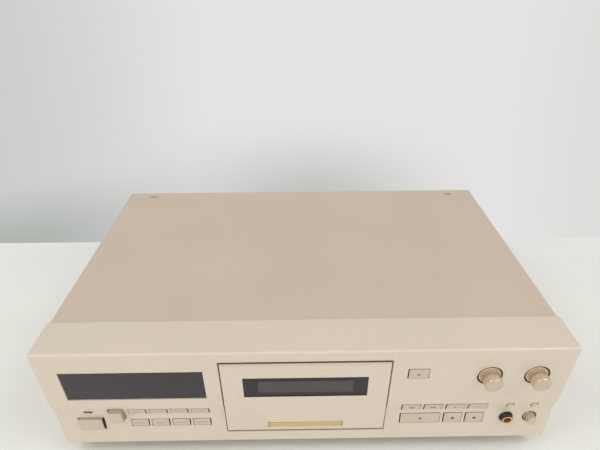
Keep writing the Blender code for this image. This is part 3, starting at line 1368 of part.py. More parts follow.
def build_rear(deck):
    """Rear panel with the line jacks and the mains inlet."""
    top = -COVER_DROP - COVER_SHEET - GAP
    bm = bmesh.new()
    block(bm, (-CHASSIS_HALF, REAR_INNER, -FASCIA_HEIGHT), (CHASSIS_HALF, REAR_FACE, top))
    panel = piece("rear_panel", bm, (0, REAR_FACE, -FASCIA_HEIGHT), deck, "steel")
    jack_x = CHASSIS_HALF - JACK_BLOCK_FROM_SIDE - JACK_BLOCK_WIDTH / 2
    jack_z = BOARD_TOP + GAP + JACK_BLOCK_HEIGHT / 2
    inlet_x = -CHASSIS_HALF + INLET_FROM_SIDE
    inlet_z = PAN_TOP + INLET_RISE
    holes = bmesh.new()
    ends = (REAR_INNER - OVERRUN, REAR_FACE + OVERRUN)
    half_width = JACK_BLOCK_WIDTH / 2 - JACK_BLOCK_LIP
    half_height = JACK_BLOCK_HEIGHT / 2 - JACK_BLOCK_LIP
    stacked(holes, (jack_x, jack_z), [(depth, half_width + GAP, half_height + GAP) for depth in ends])
    inlet = (INLET_WIDTH / 2 + GAP, INLET_HEIGHT / 2 + GAP)
    stacked(holes, (inlet_x, inlet_z), [(depth, *inlet) for depth in ends])
    cut(panel, holes)
    build_jack_block(deck, jack_x, jack_z)
    build_inlet(deck, inlet_x, inlet_z)


def build_jack_block(deck, x, z):
    """Line in and out: two pairs of phono jacks on one block."""
    half_width = JACK_BLOCK_WIDTH / 2
    half_height = JACK_BLOCK_HEIGHT / 2
    seat = REAR_FACE + GAP
    face = seat + JACK_BLOCK_PLATE
    bm = bmesh.new()
    stacked(bm, (x, z), (
        (REAR_INNER - JACK_BLOCK_DEPTH, half_width - JACK_BLOCK_LIP, half_height - JACK_BLOCK_LIP),
        (seat, half_width - JACK_BLOCK_LIP, half_height - JACK_BLOCK_LIP),
        (seat, half_width, half_height),
        (face, half_width, half_height),
    ))
    block_piece = piece("jack_block", bm, (x, REAR_FACE, z), deck, "black")
    barrels = bmesh.new()
    bores = bmesh.new()
    for across in (-1, 1):
        for up in (-1, 1):
            centre = (x + across * LINE_JACK_PITCH / 2, z + up * LINE_JACK_RISE / 2)
            turned(barrels, "Y", centre, (
                (face - JACK_BLOCK_PLATE / 2, LINE_JACK_COLLAR),
                (face + LINE_JACK_COLLAR_DEPTH, LINE_JACK_COLLAR),
                (face + LINE_JACK_COLLAR_DEPTH, LINE_JACK_RADIUS),
                (face + LINE_JACK_REACH, LINE_JACK_RADIUS),
            ), SMALL_STEPS)
            ends = (face + LINE_JACK_COLLAR_DEPTH / 2, face + LINE_JACK_REACH + OVERRUN)
            turned(bores, "Y", centre, [(depth, LINE_JACK_BORE) for depth in ends], SMALL_STEPS)
    join(block_piece, barrels)
    cut(block_piece, bores)


def build_inlet(deck, x, z):
    """Two-pin mains inlet: a moulded shell with an oblong socket."""
    half_width = INLET_WIDTH / 2
    half_height = INLET_HEIGHT / 2
    seat = REAR_FACE + GAP
    face = seat + INLET_PLATE
    bm = bmesh.new()
    stacked(bm, (x, z), (
        (face - INLET_DEPTH, half_width, half_height),
        (seat, half_width, half_height),
        (seat, half_width + INLET_LIP, half_height + INLET_LIP),
        (face, half_width + INLET_LIP, half_height + INLET_LIP),
    ))
    inlet = piece("mains_inlet", bm, (x, REAR_FACE, z), deck, "black")
    radius = INLET_SOCKET_HALF_HEIGHT
    shift = INLET_SOCKET_HALF_WIDTH - radius
    outline = arc((x + shift, z), radius, -90, 90, 2 * ARC_STEPS)
    outline += arc((x - shift, z), radius, 90, 270, 2 * ARC_STEPS)
    socket = bmesh.new()
    prism(socket, "Y", outline, face - INLET_RECESS, face + OVERRUN)
    cut(inlet, socket)
    pins = bmesh.new()
    for side in (-1, 1):
        root = face - INLET_RECESS
        profile = ((root - INLET_PIN_RADIUS, INLET_PIN_RADIUS), (root + INLET_PIN_LENGTH, INLET_PIN_RADIUS))
        turned(pins, "Y", (x + side * INLET_PIN_SPACING / 2, z), profile, SMALL_STEPS)
    join(inlet, pins)


def build_electronics(deck):
    """Main board with its soldered capacitors and heat sink, and the mains transformer."""
    left, right, front, back = main_board_sides()
    bm = bmesh.new()
    block(bm, (left, front, BOARD_REST), (right, back, BOARD_TOP))
    board = piece("main_board", bm, (left, front, BOARD_REST), deck, "board")

    foot = BOARD_REST + BOARD_THICKNESS / 2
    bm = bmesh.new()
    can_x = left + PARTS_MARGIN + CAPACITOR_RADIUS
    for number in range(CAPACITOR_COUNT):
        depth = back - PARTS_MARGIN - CAPACITOR_RADIUS - number * CAPACITOR_PITCH
        turned(bm, "Z", (can_x, depth), (
            (foot, CAPACITOR_RADIUS),
            (foot + CAPACITOR_HEIGHT - CHAMFER, CAPACITOR_RADIUS),
            (foot + CAPACITOR_HEIGHT, CAPACITOR_RADIUS - CHAMFER),
        ), SMALL_STEPS)

    sink_x = can_x + CAPACITOR_RADIUS + PARTS_MARGIN
    sink_front = front + PARTS_MARGIN
    pitch = (SINK_LENGTH - SINK_FIN) / (SINK_FINS - 1)
    outline = [(sink_x, sink_front), (sink_x + SINK_LENGTH, sink_front)]
    for fin in reversed(range(SINK_FINS)):
        near = sink_x + fin * pitch
        outline.append((near + SINK_FIN, sink_front + SINK_DEPTH))
        outline.append((near, sink_front + SINK_DEPTH))
        if fin:
            outline.append((near, sink_front + SINK_BACK))
            outline.append((near - pitch + SINK_FIN, sink_front + SINK_BACK))
    prism(bm, "Z", outline, foot, foot + SINK_HEIGHT)
    join(board, bm)
    build_transformer(deck)


def build_transformer(deck):
    """Mains transformer: a laminated core round a taller bobbin."""
    left = -CHASSIS_HALF + SHEET + BOARD_TO_SIDE
    middle = left + TRANSFORMER_WIDTH / 2
    back = REAR_INNER - INLET_DEPTH - BOARD_TO_SIDE
    depth = back - TRANSFORMER_LENGTH / 2
    foot = PAN_TOP + GAP
    core_foot = foot + (TRANSFORMER_HEIGHT - CORE_HEIGHT) / 2
    core_top = core_foot + CORE_HEIGHT
    wide = TRANSFORMER_WIDTH / 2
    long = TRANSFORMER_LENGTH / 2
    rings = []
    for z, half_width, half_length in (
        (foot, wide - CORE_OVERHANG, long - CORE_OVERHANG),
        (core_foot, wide - CORE_OVERHANG, long - CORE_OVERHANG),
        (core_foot, wide, long),
        (core_top, wide, long),
        (core_top, wide - CORE_OVERHANG, long - CORE_OVERHANG),
        (foot + TRANSFORMER_HEIGHT, wide - CORE_OVERHANG, long - CORE_OVERHANG),
    ):
        corners = ((-1, -1), (1, -1), (1, 1), (-1, 1))
        rings.append([
            spot("Z", middle + side * half_width, depth + end * half_length, z)
            for side, end in corners
        ])
    bm = bmesh.new()
    skin(bm, rings)
    piece("transformer", bm, (middle, depth, foot), deck, "core")


def clear_scene():
    """Removes whatever the scene holds."""
    for thing in list(bpy.data.objects):
        bpy.data.objects.remove(thing, do_unlink=True)


def main():
    """Builds the deck with its feet on the ground and its middle at the origin."""
    clear_scene()
    deck = anchor("deck", (0, 0, 0))
    deck.location = (0, FRONT_Y, TOP_Z)
    build_fascia(deck)
    build_display(deck)
    build_boards(deck)
    build_keys(deck)
    build_power_and_timer(deck)
    build_knobs(deck)
    build_phones_jack(deck)
    build_door(deck)
    build_plate(deck)
    build_reels(deck)
    build_reel_drive(deck)
    build_capstans(deck)
    build_heads(deck)
    build_pan(deck)
    build_cover(deck)
    build_feet(deck)
    build_rear(deck)
    build_electronics(deck)


main()
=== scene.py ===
"""Front-loading cassette deck in a champagne case: its finishes, prints and fine pieces.

Lengths are in metres. A place on the deck is x across the front, depth behind the front face and
drop below the top edge of the front panel. A shape is worked out as whole arrays of points: rings
of one outline, carried along a profile, and joined into closed skins.
"""

import json
import logging
import math
from collections.abc import Sequence
from dataclasses import dataclass, field
from enum import Enum

import bmesh
import bpy
import numpy as np
from bpy.types import Camera, Light, Material, Mesh, Node, NodeSocket, NodeTree, Object
from mathutils import Matrix, Vector

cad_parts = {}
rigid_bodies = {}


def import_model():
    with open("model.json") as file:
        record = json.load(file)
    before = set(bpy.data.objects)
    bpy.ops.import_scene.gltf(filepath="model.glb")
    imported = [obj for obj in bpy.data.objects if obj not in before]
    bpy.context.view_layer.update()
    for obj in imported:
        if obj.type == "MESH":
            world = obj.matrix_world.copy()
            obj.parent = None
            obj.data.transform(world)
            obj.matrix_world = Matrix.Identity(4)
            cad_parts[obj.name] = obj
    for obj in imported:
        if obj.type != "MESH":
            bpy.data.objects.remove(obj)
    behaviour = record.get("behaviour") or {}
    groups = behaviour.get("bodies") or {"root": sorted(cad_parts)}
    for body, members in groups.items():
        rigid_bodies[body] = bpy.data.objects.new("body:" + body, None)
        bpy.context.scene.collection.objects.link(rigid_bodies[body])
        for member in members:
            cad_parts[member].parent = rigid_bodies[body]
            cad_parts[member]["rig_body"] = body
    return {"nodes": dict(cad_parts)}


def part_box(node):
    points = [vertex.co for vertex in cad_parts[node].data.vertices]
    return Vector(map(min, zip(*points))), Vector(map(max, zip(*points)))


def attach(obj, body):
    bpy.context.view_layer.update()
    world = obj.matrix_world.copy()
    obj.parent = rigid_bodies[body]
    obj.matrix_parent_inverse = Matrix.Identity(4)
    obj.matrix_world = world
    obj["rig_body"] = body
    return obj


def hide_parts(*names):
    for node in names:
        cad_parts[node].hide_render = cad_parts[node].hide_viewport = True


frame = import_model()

LOG = logging.getLogger("cassette_deck")
Profile = Sequence[tuple[float, float]]

# Distance at which doubles merge, and the angles past which an edge is sharp, two faces are no
# longer one plane, and an edge is softened.
MERGE = 1e-6
SHARP = math.radians(32)
COPLANAR = math.radians(0.3)
SOFTENED = math.radians(40)
# Part of a face's normal along an axis from which the face looks that way, and below which it
# runs along that axis.
FACING = 0.9
SIDEWAYS = 0.3
# How far behind the front of a node its front face may lie.
FRONT_BAND = 0.0026
# Film of ink: how far it stands in front of its face, and how far it reaches behind it.
INK_PROUD = 0.00003
INK_SUNK = 0.00006
# Radius at the corners of fine flat outlines, and of prints.
CORNER = 0.0001
INK_CORNER = 0.0002
# Least divisor of an inset, so that a very sharp corner stays near its place.
BLUNT = 0.2
# Numbers of a pattern between which a colour changes, and a roughness or a slow drift does.
COLOUR_SPAN = (0.35, 0.65)
WIDE_SPAN = (0.3, 0.7)
LEAST_ROUGHNESS = 0.02
MM_PER_METRE = 1000.0
# Numbers of the colour inputs and the colour output of a Mix node.
MIX_FROM, MIX_TO, MIX_RESULT = 6, 7, 2


@dataclass(frozen=True)
class Datum:
    """Corner that places are measured from: the middle of the front panel's top front edge."""

    front: float
    top: float

    def place(self, x: np.ndarray, depth: np.ndarray, drop: np.ndarray) -> np.ndarray:
        """Turns places on the deck into points, with a last axis of three."""
        return np.stack(np.broadcast_arrays(x, self.front + depth, self.top - drop), axis=-1)

    def of(self, points: np.ndarray) -> tuple[np.ndarray, np.ndarray, np.ndarray]:
        """Gives the x, depth and drop of points."""
        return points[..., 0], points[..., 1] - self.front, self.top - points[..., 2]


@dataclass(frozen=True)
class Extent:
    """Box of a frame node, as places on the deck."""

    left: float
    right: float
    front: float
    back: float
    top: float
    foot: float

    @property
    def x(self) -> float:
        """Middle across."""
        return (self.left + self.right) / 2

    @property
    def drop(self) -> float:
        """Middle in height, as a drop."""
        return (self.top + self.foot) / 2

    @property
    def width(self) -> float:
        """Size across."""
        return self.right - self.left

    @property
    def height(self) -> float:
        """Size upwards."""
        return self.foot - self.top


@dataclass(frozen=True)
class Skin:
    """Points and faces of closed shapes."""

    points: np.ndarray
    faces: list[list[int]]


@dataclass(frozen=True)
class Face:
    """Flat face that looks forward: its middle, and how much deeper it gets with the drop."""

    depth: float
    drop: float
    slope: float

    def lean(self, skin: Skin) -> Skin:
        """Leans a skin as the face leans: each point moves back by slope times its drop."""
        skin.points[:, 1] += self.slope * (DATUM.of(skin.points)[2] - self.drop)
        return skin


@dataclass(frozen=True)
class Faces:
    """Faces of a mesh: their middles as places on the deck, their normals and their areas."""

    x: np.ndarray
    depth: np.ndarray
    drop: np.ndarray
    nx: np.ndarray
    ny: np.ndarray
    nz: np.ndarray
    area: np.ndarray


def find_datum() -> Datum:
    """Reads the datum off the front panel's box."""
    low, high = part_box("fascia")
    return Datum(front=low.y, top=high.z)


DATUM = find_datum()


def extent(node: str) -> Extent:
    """Measures the box of a frame node, as places on the deck."""
    low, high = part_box(node)
    front, back = low.y - DATUM.front, high.y - DATUM.front
    return Extent(low.x, high.x, front, back, DATUM.top - high.z, DATUM.top - low.z)


def faces_of(mesh: Mesh) -> Faces:
    """Reads the faces of a mesh as whole arrays.

    Args:
        mesh: The mesh.

    Returns:
        Its faces.
    """
    centres, normals, areas = (np.zeros(len(mesh.polygons) * size) for size in (3, 3, 1))
    mesh.polygons.foreach_get("center", centres)
    mesh.polygons.foreach_get("normal", normals)
    mesh.polygons.foreach_get("area", areas)
    return Faces(*DATUM.of(centres.reshape(-1, 3)), *normals.reshape(-1, 3).T, areas)


def front_face(node: str, top: float = 0.0, foot: float = 1.0) -> Face:
    """Finds the flat front of a node from the faces that look forward near its front.

    Their centres and normals are averaged by area. A face with the normal (nx, ny, nz) gets
    deeper by nz / ny with each length of drop.

    Args:
        node: Name of the node.
        top: Least drop of the faces that count.
        foot: Greatest drop of the faces that count.

    Returns:
        The face.
    """
    at = faces_of(frame["nodes"][node].data)
    near = at.depth < extent(node).front + FRONT_BAND
    weight = at.area * (near & (at.ny < -FACING) & (at.drop > top) & (at.drop < foot))
    total = weight.sum()
    slope = (weight @ at.nz) / (weight @ at.ny)
    return Face(weight @ at.depth / total, weight @ at.drop / total, slope)


# Shapes


def loft(rings: np.ndarray, closed: bool = False) -> Skin:
    """Joins rings of points into one closed skin.

    Ring i and ring i + 1 are joined by four-sided faces, each with two neighbours of both rings.
    The first and last ring are filled, or joined to each other where the path is closed.

    Args:
        rings: Array of ring, point in the ring, and three coordinates.
        closed: Whether the last ring joins the first.

    Returns:
        The skin.
    """
    count, sides = rings.shape[:2]
    index = np.arange(count * sides).reshape(count, sides)
    lower = index if closed else index[:-1]
    upper = np.roll(index, -1, axis=0) if closed else index[1:]
    quads = np.stack(
        [lower, np.roll(lower, -1, axis=1), np.roll(upper, -1, axis=1), upper], axis=-1
    )
    faces = quads.reshape(-1, 4).tolist()
    if not closed:
        faces += [index[0, ::-1].tolist(), index[-1].tolist()]
    return Skin(rings.reshape(-1, 3), faces)


def joined(skins: Sequence[Skin]) -> Skin:
    """Puts several skins in one list of points and faces.

    Args:
        skins: The skins.

    Returns:
        One skin, whose faces count on from one skin to the next.
    """
    starts = np.cumsum([0] + [len(skin.points) for skin in skins[:-1]])
    faces = [
        [int(start) + corner for corner in face]
        for start, skin in zip(starts, skins)
        for face in skin.faces
    ]
    return Skin(np.concatenate([skin.points for skin in skins]), faces)


def box_outline(width: float, height: float, radius: float, steps: int) -> np.ndarray:
    """Outlines a rectangle with round corners.

    Each corner is a quarter circle: corner centre plus radius times (cosine, sine) of its angle.

    Args:
        width: Size across.
        height: Size upwards.
        radius: Radius of the corners.
        steps: Points less one on each corner.

    Returns:
        Points, anticlockwise, around the middle.
    """
    angle = np.linspace(0, math.pi / 2, steps + 1) + np.arange(4)[:, None] * math.pi / 2
    reach = np.array([width / 2 - radius, height / 2 - radius])
    signs = np.array([[1, 1], [-1, 1], [-1, -1], [1, -1]])
    arcs = radius * np.stack([np.cos(angle), np.sin(angle)], axis=-1)
    return (arcs + (signs * reach)[:, None]).reshape(-1, 2)


def round_outline(radius: float, steps: int) -> np.ndarray:
    """Outlines a circle: radius times (cosine, sine) of evenly spaced angles."""
    angle = np.linspace(0, 2 * math.pi, steps, endpoint=False)
    return radius * np.stack([np.cos(angle), np.sin(angle)], axis=-1)


def inset(outline: np.ndarray, amount: np.ndarray) -> np.ndarray:
    """Moves an outline inwards by each of several amounts.

    A corner moves along the sum of its two sides' inward normals, divided by one plus their
    product, so that both sides move by the amount.

    Args:
        outline: Points, anticlockwise.
        amount: Distances inwards.

    Returns:
        One outline for each amount.
    """
    side = np.roll(outline, -1, axis=0) - outline
    side = side / np.linalg.norm(side, axis=1, keepdims=True)
    normal = np.stack([-side[:, 1], side[:, 0]], axis=1)
    before = np.roll(normal, 1, axis=0)
    product = (normal * before).sum(axis=1, keepdims=True)
    corner = (normal + before) / np.maximum(1 + product, BLUNT)
    return outline + np.asarray(amount)[:, None, None] * corner


def slab(outline: np.ndarray, x: float, drop: float, profile: Profile) -> Skin:
    """Carries an outline back from the front along a profile of depths and insets.

    Args:
        outline: Points around the piece's middle, anticlockwise, across and upwards.
        x: Middle across.
        drop: Middle in height.
        profile: Pairs of a depth and the inset of the outline there.

    Returns:
        The skin.
    """
    depths, amounts = np.array(profile).T
    rings = inset(outline, amounts)
    return loft(DATUM.place(x + rings[..., 0], depths[:, None], drop - rings[..., 1]))


def turned(
    profile: Profile, centre: tuple[float, float], sides: int, flutes: int = 0, cut: float = 0.0
) -> Skin:
    """Turns a profile about an axis that points to the rear.

    A point lies at its depth along the axis, and at radius times (cosine, sine) across it. With
    flutes, the radius loses cut times the square of the sine of half the flutes times the angle,
    on the depths where the profile marks a fluted part with a negative radius.

    Args:
        profile: Pairs of a depth and a radius, negative where it is fluted.
        centre: Place of the axis: x and drop.
        sides: Points around.
        flutes: Number of flutes around.
        cut: Depth of a flute.

    Returns:
        The skin.
    """
    depth, radius = np.array(profile).T[..., None]
    angle = np.linspace(0, 2 * math.pi, sides, endpoint=False)
    groove = cut * np.sin(flutes * angle / 2) ** 2
    reach = np.abs(radius) - np.where(radius < 0, groove, 0.0)
    x, drop = centre[0] + reach * np.cos(angle), centre[1] + reach * np.sin(angle)
    return loft(DATUM.place(x, depth, drop))


def settle(mesh: Mesh, copied: bool) -> None:
    """Merges a mesh's doubles and shades it smooth between its sharp edges.

    Args:
        mesh: The mesh.
        copied: Whether it copies a node, whose faces in one plane are then joined. The faces of
            a new mesh are turned outwards instead.
    """
    work = bmesh.new()
    work.from_mesh(mesh)
    bmesh.ops.remove_doubles(work, verts=work.verts, dist=MERGE)
    if copied:
        bmesh.ops.dissolve_limit(work, angle_limit=COPLANAR, verts=work.verts, edges=work.edges)
    else:
        bmesh.ops.recalc_face_normals(work, faces=work.faces)
    work.to_mesh(mesh)
    work.free()
    mesh.shade_smooth()
    mesh.set_sharp_from_angle(angle=SHARP)


def placed(name: str, data: Camera | Light | Mesh) -> Object:
    """Makes an object for some data, and links it to the scene."""
    made = bpy.data.objects.new(name, data)
    bpy.context.scene.collection.objects.link(made)
    return made


# Finishes


def linear(code: str) -> tuple[float, float, float, float]:
    """Turns an sRGB colour of six hex digits into linear red, green and blue, and a one."""
    parts = (int(code[at : at + 2], 16) / 255 for at in (0, 2, 4))
    return (*(v / 12.92 if v <= 0.04045 else ((v + 0.055) / 1.055) ** 2.4 for v in parts), 1.0)


def add(tree: NodeTree, kind: str, inputs: dict | Sequence = (), **settings) -> Node:
    """Adds one shader node with its settings, values and links.

    Args:
        tree: Node tree.
        kind: Type of the node.
        inputs: Values or output sockets, by the input's name or number, or in their order. For
            MapRange that is the value, the ends it runs between, and those of the result.
        **settings: Settings of the node.

    Returns:
        The node.
    """
    node = tree.nodes.new(f"ShaderNode{kind}")
    for name, value in settings.items():
        setattr(node, name, value)
    for name, value in (inputs if isinstance(inputs, dict) else dict(enumerate(inputs))).items():
        if isinstance(value, NodeSocket):
            tree.links.new(value, node.inputs[name])
        else:
            node.inputs[name].default_value = value
    return node


def per_mm(size: float) -> float:
    """Texture scale at which one feature is about as many millimetres wide as given."""
    return MM_PER_METRE / size


class Grain(Enum):
    """Way that a pattern runs."""

    EVEN = (1.0, 1.0, 1.0)
    ALONG_X = (0.02, 1.0, 1.0)
    ALONG_Y = (1.0, 0.02, 1.0)
    ALONG_Z = (1.0, 1.0, 0.02)


@dataclass(frozen=True)
class Nodes:
    """Node tree of one material, its main shader, and the socket of the place on the object."""

    tree: NodeTree
    shader: Node
    place: NodeSocket

    def feed(self, name: str, source: NodeSocket) -> None:
        """Links a socket to an input of the main shader."""
        self.tree.links.new(source, self.shader.inputs[name])


@dataclass(frozen=True)
class Finish:
    """A surface: its colour, its sheen, and a fine pattern that varies both."""

    name: str
    colour: str
    roughness: float
    metallic: float = 0.0
    second: str = ""
    grain_mm: float = 0.6
    grain: Grain = Grain.EVEN
    mix: float = 0.25
    rough_spread: float = 0.06
    bump: float = 0.05
    bump_mm: float = 0.02
    coat: float = 0.0

    def material(self) -> Material:
        """Makes the material, or finds the one made before.

        Returns:
            The material.
        """
        known = bpy.data.materials.get(self.name)
        if known:
            return known
        made = bpy.data.materials.new(self.name)
        made.use_nodes = True
        made.diffuse_color = linear(self.colour)
        tree = made.node_tree
        shader = tree.nodes["Principled BSDF"]
        for socket, value in (
            ("Base Color", linear(self.colour)), ("Metallic", self.metallic),
            ("Roughness", self.roughness), ("Coat Weight", self.coat),
        ):
            shader.inputs[socket].default_value = value
        self.dress(Nodes(tree, shader, add(tree, "TexCoord").outputs["Object"]))
        return made

    def dress(self, nodes: Nodes) -> None:
        """Goes from the first colour towards the second with the pattern, and adds its relief.

        Args:
            nodes: Nodes of the material.
        """
        pattern = self.pattern(nodes)
        amount = add(nodes.tree, "MapRange", (pattern, *COLOUR_SPAN, 0.0, self.mix))
        mixed = add(
            nodes.tree, "Mix",
            {"Factor": amount.outputs["Result"], MIX_FROM: linear(self.colour),
             MIX_TO: linear(self.second or self.colour)},
            data_type="RGBA",
        )
        nodes.feed("Base Color", mixed.outputs[MIX_RESULT])
        self.relief(nodes, pattern)

    def pattern(self, nodes: Nodes) -> NodeSocket:
        """Gives the fine pattern: noise, stretched along the grain.

        Args:
            nodes: Nodes of the material.

        Returns:
            Socket with numbers about a half.
        """
        stretched = add(nodes.tree, "Mapping", {"Vector": nodes.place, "Scale": self.grain.value})
        return add(
            nodes.tree, "TexNoise",
            {"Vector": stretched.outputs["Vector"], "Scale": per_mm(self.grain_mm), "Detail": 2.0},
        ).outputs["Fac"]

    def relief(self, nodes: Nodes, pattern: NodeSocket) -> None:
        """Varies the roughness with the pattern, and raises a low relief from it.

        Args:
            nodes: Nodes of the material.
            pattern: Socket with numbers about a half.
        """
        low = max(self.roughness - self.rough_spread, LEAST_ROUGHNESS)
        high = self.roughness + self.rough_spread
        rough = add(nodes.tree, "MapRange", (pattern, *WIDE_SPAN, low, high))
        lift = add(
            nodes.tree, "Bump",
            {"Height": pattern, "Strength": self.bump, "Distance": self.bump_mm / MM_PER_METRE},
        )
        nodes.feed("Roughness", rough.outputs["Result"])
        nodes.feed("Normal", lift.outputs["Normal"])


@dataclass(frozen=True)
class MetallicPaint(Finish):
    """Satin paint with aluminium flake: tiny light specks, and a faint orange peel."""

    metallic: float = 0.12
    rough_spread: float = 0.03
    flake: float = 0.10
    flake_mm: float = 0.45
    peel_mm: float = 1.4
    drift: float = 0.0
    drift_mm: float = 90.0

    def dress(self, nodes: Nodes) -> None:
        """Scatters specks with random cells, lets the shade drift, and raises the peel.

        Args:
            nodes: Nodes of the material.
        """
        tree, place = nodes.tree, nodes.place
        cells = add(tree, "TexVoronoi", {"Vector": place, "Scale": per_mm(self.flake_mm)})
        speck = add(tree, "SeparateColor", {"Color": cells.outputs["Color"]})
        cloud, peel = (
            add(tree, "TexNoise", {"Vector": place, "Scale": per_mm(size), "Detail": 1.0})
            for size in (self.drift_mm, self.peel_mm)
        )
        half = self.flake / 2
        value, drifted = (
            add(tree, "MapRange", numbers).outputs["Result"]
            for numbers in (
                (speck.outputs["Red"], 0.0, 1.0, 1 - half, 1 + half),
                (cloud.outputs["Fac"], *WIDE_SPAN, 1 - self.drift, 1 + self.drift),
            )
        )
        both = add(tree, "Math", (value, drifted), operation="MULTIPLY").outputs["Value"]
        colour = add(tree, "HueSaturation", {"Value": both, "Color": linear(self.colour)})
        nodes.feed("Base Color", colour.outputs["Color"])
        self.relief(nodes, peel.outputs["Fac"])


@dataclass(frozen=True)
class SmokedAcrylic(Finish):
    """Dark see-through acrylic, moulded and polished: deep grey with a clear gloss."""

    through: float = 0.5
    ior: float = 1.49

    def dress(self, nodes: Nodes) -> None:
        """Lets part of the light through, and adds the faint waves of a moulding.

        Args:
            nodes: Nodes of the material.
        """
        nodes.shader.inputs["Transmission Weight"].default_value = self.through
        nodes.shader.inputs["IOR"].default_value = self.ior
        waves = add(
            nodes.tree, "TexNoise",
            {"Vector": nodes.place, "Scale": per_mm(self.grain_mm), "Detail": 0.0},
        )
        self.relief(nodes, waves.outputs["Fac"])


@dataclass(frozen=True)
class TurnedMetal(Finish):
    """Metal turned on a lathe: fine rings around the axis that stretch the light."""

    centre: tuple[float, float, float] = (0.0, 0.0, 0.0)
    pitch_mm: float = 0.3
    waver: float = 0.6

    def pattern(self, nodes: Nodes) -> NodeSocket:
        """Gives rings around the axis through the centre.

        Args:
            nodes: Nodes of the material.

        Returns:
            Socket with the height of the rings. A ring takes one turn of a sine.
        """
        centred = add(
            nodes.tree, "Mapping",
            {"Vector": nodes.place, "Location": tuple(-v for v in self.centre)},
        )
        return add(
            nodes.tree, "TexWave",
            {"Vector": centred.outputs["Vector"], "Scale": per_mm(self.pitch_mm) / (2 * math.pi),
             "Distortion": self.waver, "Detail": 1.0},
            wave_type="RINGS", rings_direction="Y",
        ).outputs["Fac"]


@dataclass(frozen=True)
class Spangle(Finish):
    """Hot-dip zinc on sheet steel: flat crystals in slightly different greys."""

    def pattern(self, nodes: Nodes) -> NodeSocket:
        """Gives one random number to each crystal.

        Args:
            nodes: Nodes of the material.

        Returns:
            Socket with the number, from 0 to 1.
        """
        cells = add(
            nodes.tree, "TexVoronoi", {"Vector": nodes.place, "Scale": per_mm(self.grain_mm)}
        )
        return add(nodes.tree, "SeparateColor", {"Color": cells.outputs["Color"]}).outputs["Green"]


@dataclass(frozen=True)
class Laminate(Finish):
    """Paper laminate of a circuit board: tan board with darker tracks under a green mask."""

    scatter: float = 0.8

    def pattern(self, nodes: Nodes) -> NodeSocket:
        """Draws tracks along the borders of square cells, as far apart as the grain is wide.

        Args:
            nodes: Nodes of the material.

        Returns:
            Socket with the distance from a cell's middle.
        """
        return add(
            nodes.tree, "TexVoronoi",
            {"Vector": nodes.place, "Scale": per_mm(self.grain_mm), "Randomness": self.scatter},
            distance="CHEBYCHEV",
        ).outputs["Distance"]


# Satin champagne paint on the moulded front panel: warm pale grey-gold, soft broad highlights.
PANEL_PAINT = MetallicPaint(
    "champagne_paint_on_moulded_panel", "DACDBB", 0.42, drift=0.012, bump=0.06, bump_mm=0.03,
)
# The same paint, baked on folded steel: a little darker and warmer, and more matt.
COVER_PAINT = MetallicPaint(
    "champagne_paint_on_folded_steel", "CEBCA9", 0.48, drift=0.02, bump=0.08, bump_mm=0.03,
    peel_mm=1.8,
)
# Painted light on the walls of the door's opening: pale cream, lighter than the panel's paint,
# satin.
OPENING_LIGHT = Finish("painted_light_on_opening_walls", "F3EADB", 0.5, second="EADFCD")
# Painted shade on the bevel along the door's head: the panel's paint a shade darker.
BEVEL_SHADE = MetallicPaint("champagne_paint_with_painted_shade_in_door_bevel", "D3C2AE", 0.42)
# Painted moulded caps: the panel's paint, a shade pinker and darker.
KEY_PAINT = MetallicPaint("champagne_paint_on_moulded_caps", "CDBDAA", 0.4, bump=0.04)
# Sides of the caps, the door's top and the knobs' rims: bare brown plastic, satin, darkened further
# as painted shade of the gaps, so that each cap has a dark outline.
DARK_SIDE_AND_GAP_SHADE = Finish("brown_abs_with_painted_gap_shade", "5C4936", 0.45, second="4F3E2E", bump=0.06)
# Painted shade on the tops of the power and timer caps and on the timer's sides: khaki, darker than
# the caps' paint.
CAP_TOP_AND_SIDE_SHADE = Finish("painted_shade_on_cap_tops_and_sides", "B4A58B", 0.42, second="A39375", bump=0.06)
# Painted shade along the top edge of the timer's cap: dark olive.
TIMER_EDGE_SHADE = Finish("painted_shade_on_cap_edge", "7D7150", 0.42, second="6B5F41", bump=0.06)
# Smoked acrylic over the display: violet grey, near black inside, clear gloss.
DISPLAY_ACRYLIC = SmokedAcrylic(
    "smoked_acrylic_of_display", "413A42", 0.08, grain_mm=26.0, rough_spread=0.01, bump_mm=0.05,
)
# Smoked acrylic of the door's window: a shade lighter, so that what is behind shows through.
DOOR_ACRYLIC = SmokedAcrylic(
    "smoked_acrylic_of_door", "625859", 0.08, grain_mm=30.0, rough_spread=0.01, bump_mm=0.05,
)
# Screen-printed border of the window: dark violet, satin.
WINDOW_BORDER = Finish("printed_border_of_window", "1B141D", 0.26, bump=0.01)
# Painted shadow along the top of the window: a band darker than the border's print.
WINDOW_SHADOW_BAND = Finish("painted_shadow_band_of_window", "141112", 0.34, bump=0.01)
# Gilt foil on an aluminium strip: yellow gold with a fine brushed grain along it.
GILT = Finish(
    "gilt_foil_brushed", "D0B982", 0.36, 0.4, second="C9AC6A", grain_mm=0.5,
    grain=Grain.ALONG_X, mix=0.3,
)
# End posts of the strip: a browner gilt.
GILT_POST = Finish("gilt_post_turned", "C9A264", 0.38, 0.5, second="AE8748")
# Zinc-coated sheet steel of the pan, the rear and the mechanism: light grey, faint crystals.
ZINC = Spangle(
    "zinc_plated_sheet_steel", "C2C2BD", 0.38, 0.8, second="B2B2AC", grain_mm=2.6, mix=0.3,
    rough_spread=0.04, bump=0.01,
)
# Nickel-plated turned parts: bright, with a soft grain in place of lathe rings too fine to see.
NICKEL = Finish("nickel_plate_turned", "C9C5BC", 0.22, 1.0, second="A8A298", grain_mm=0.8)
# Polished side of a level knob: champagne anodised, with streaks along it from the fine flutes.
KNOB_SIDE = Finish(
    "anodised_aluminium_polished_side", "DCC9AE", 0.25, 0.55, second="BCA688", grain_mm=0.8,
    grain=Grain.ALONG_Y, mix=0.5, bump=0.02,
)
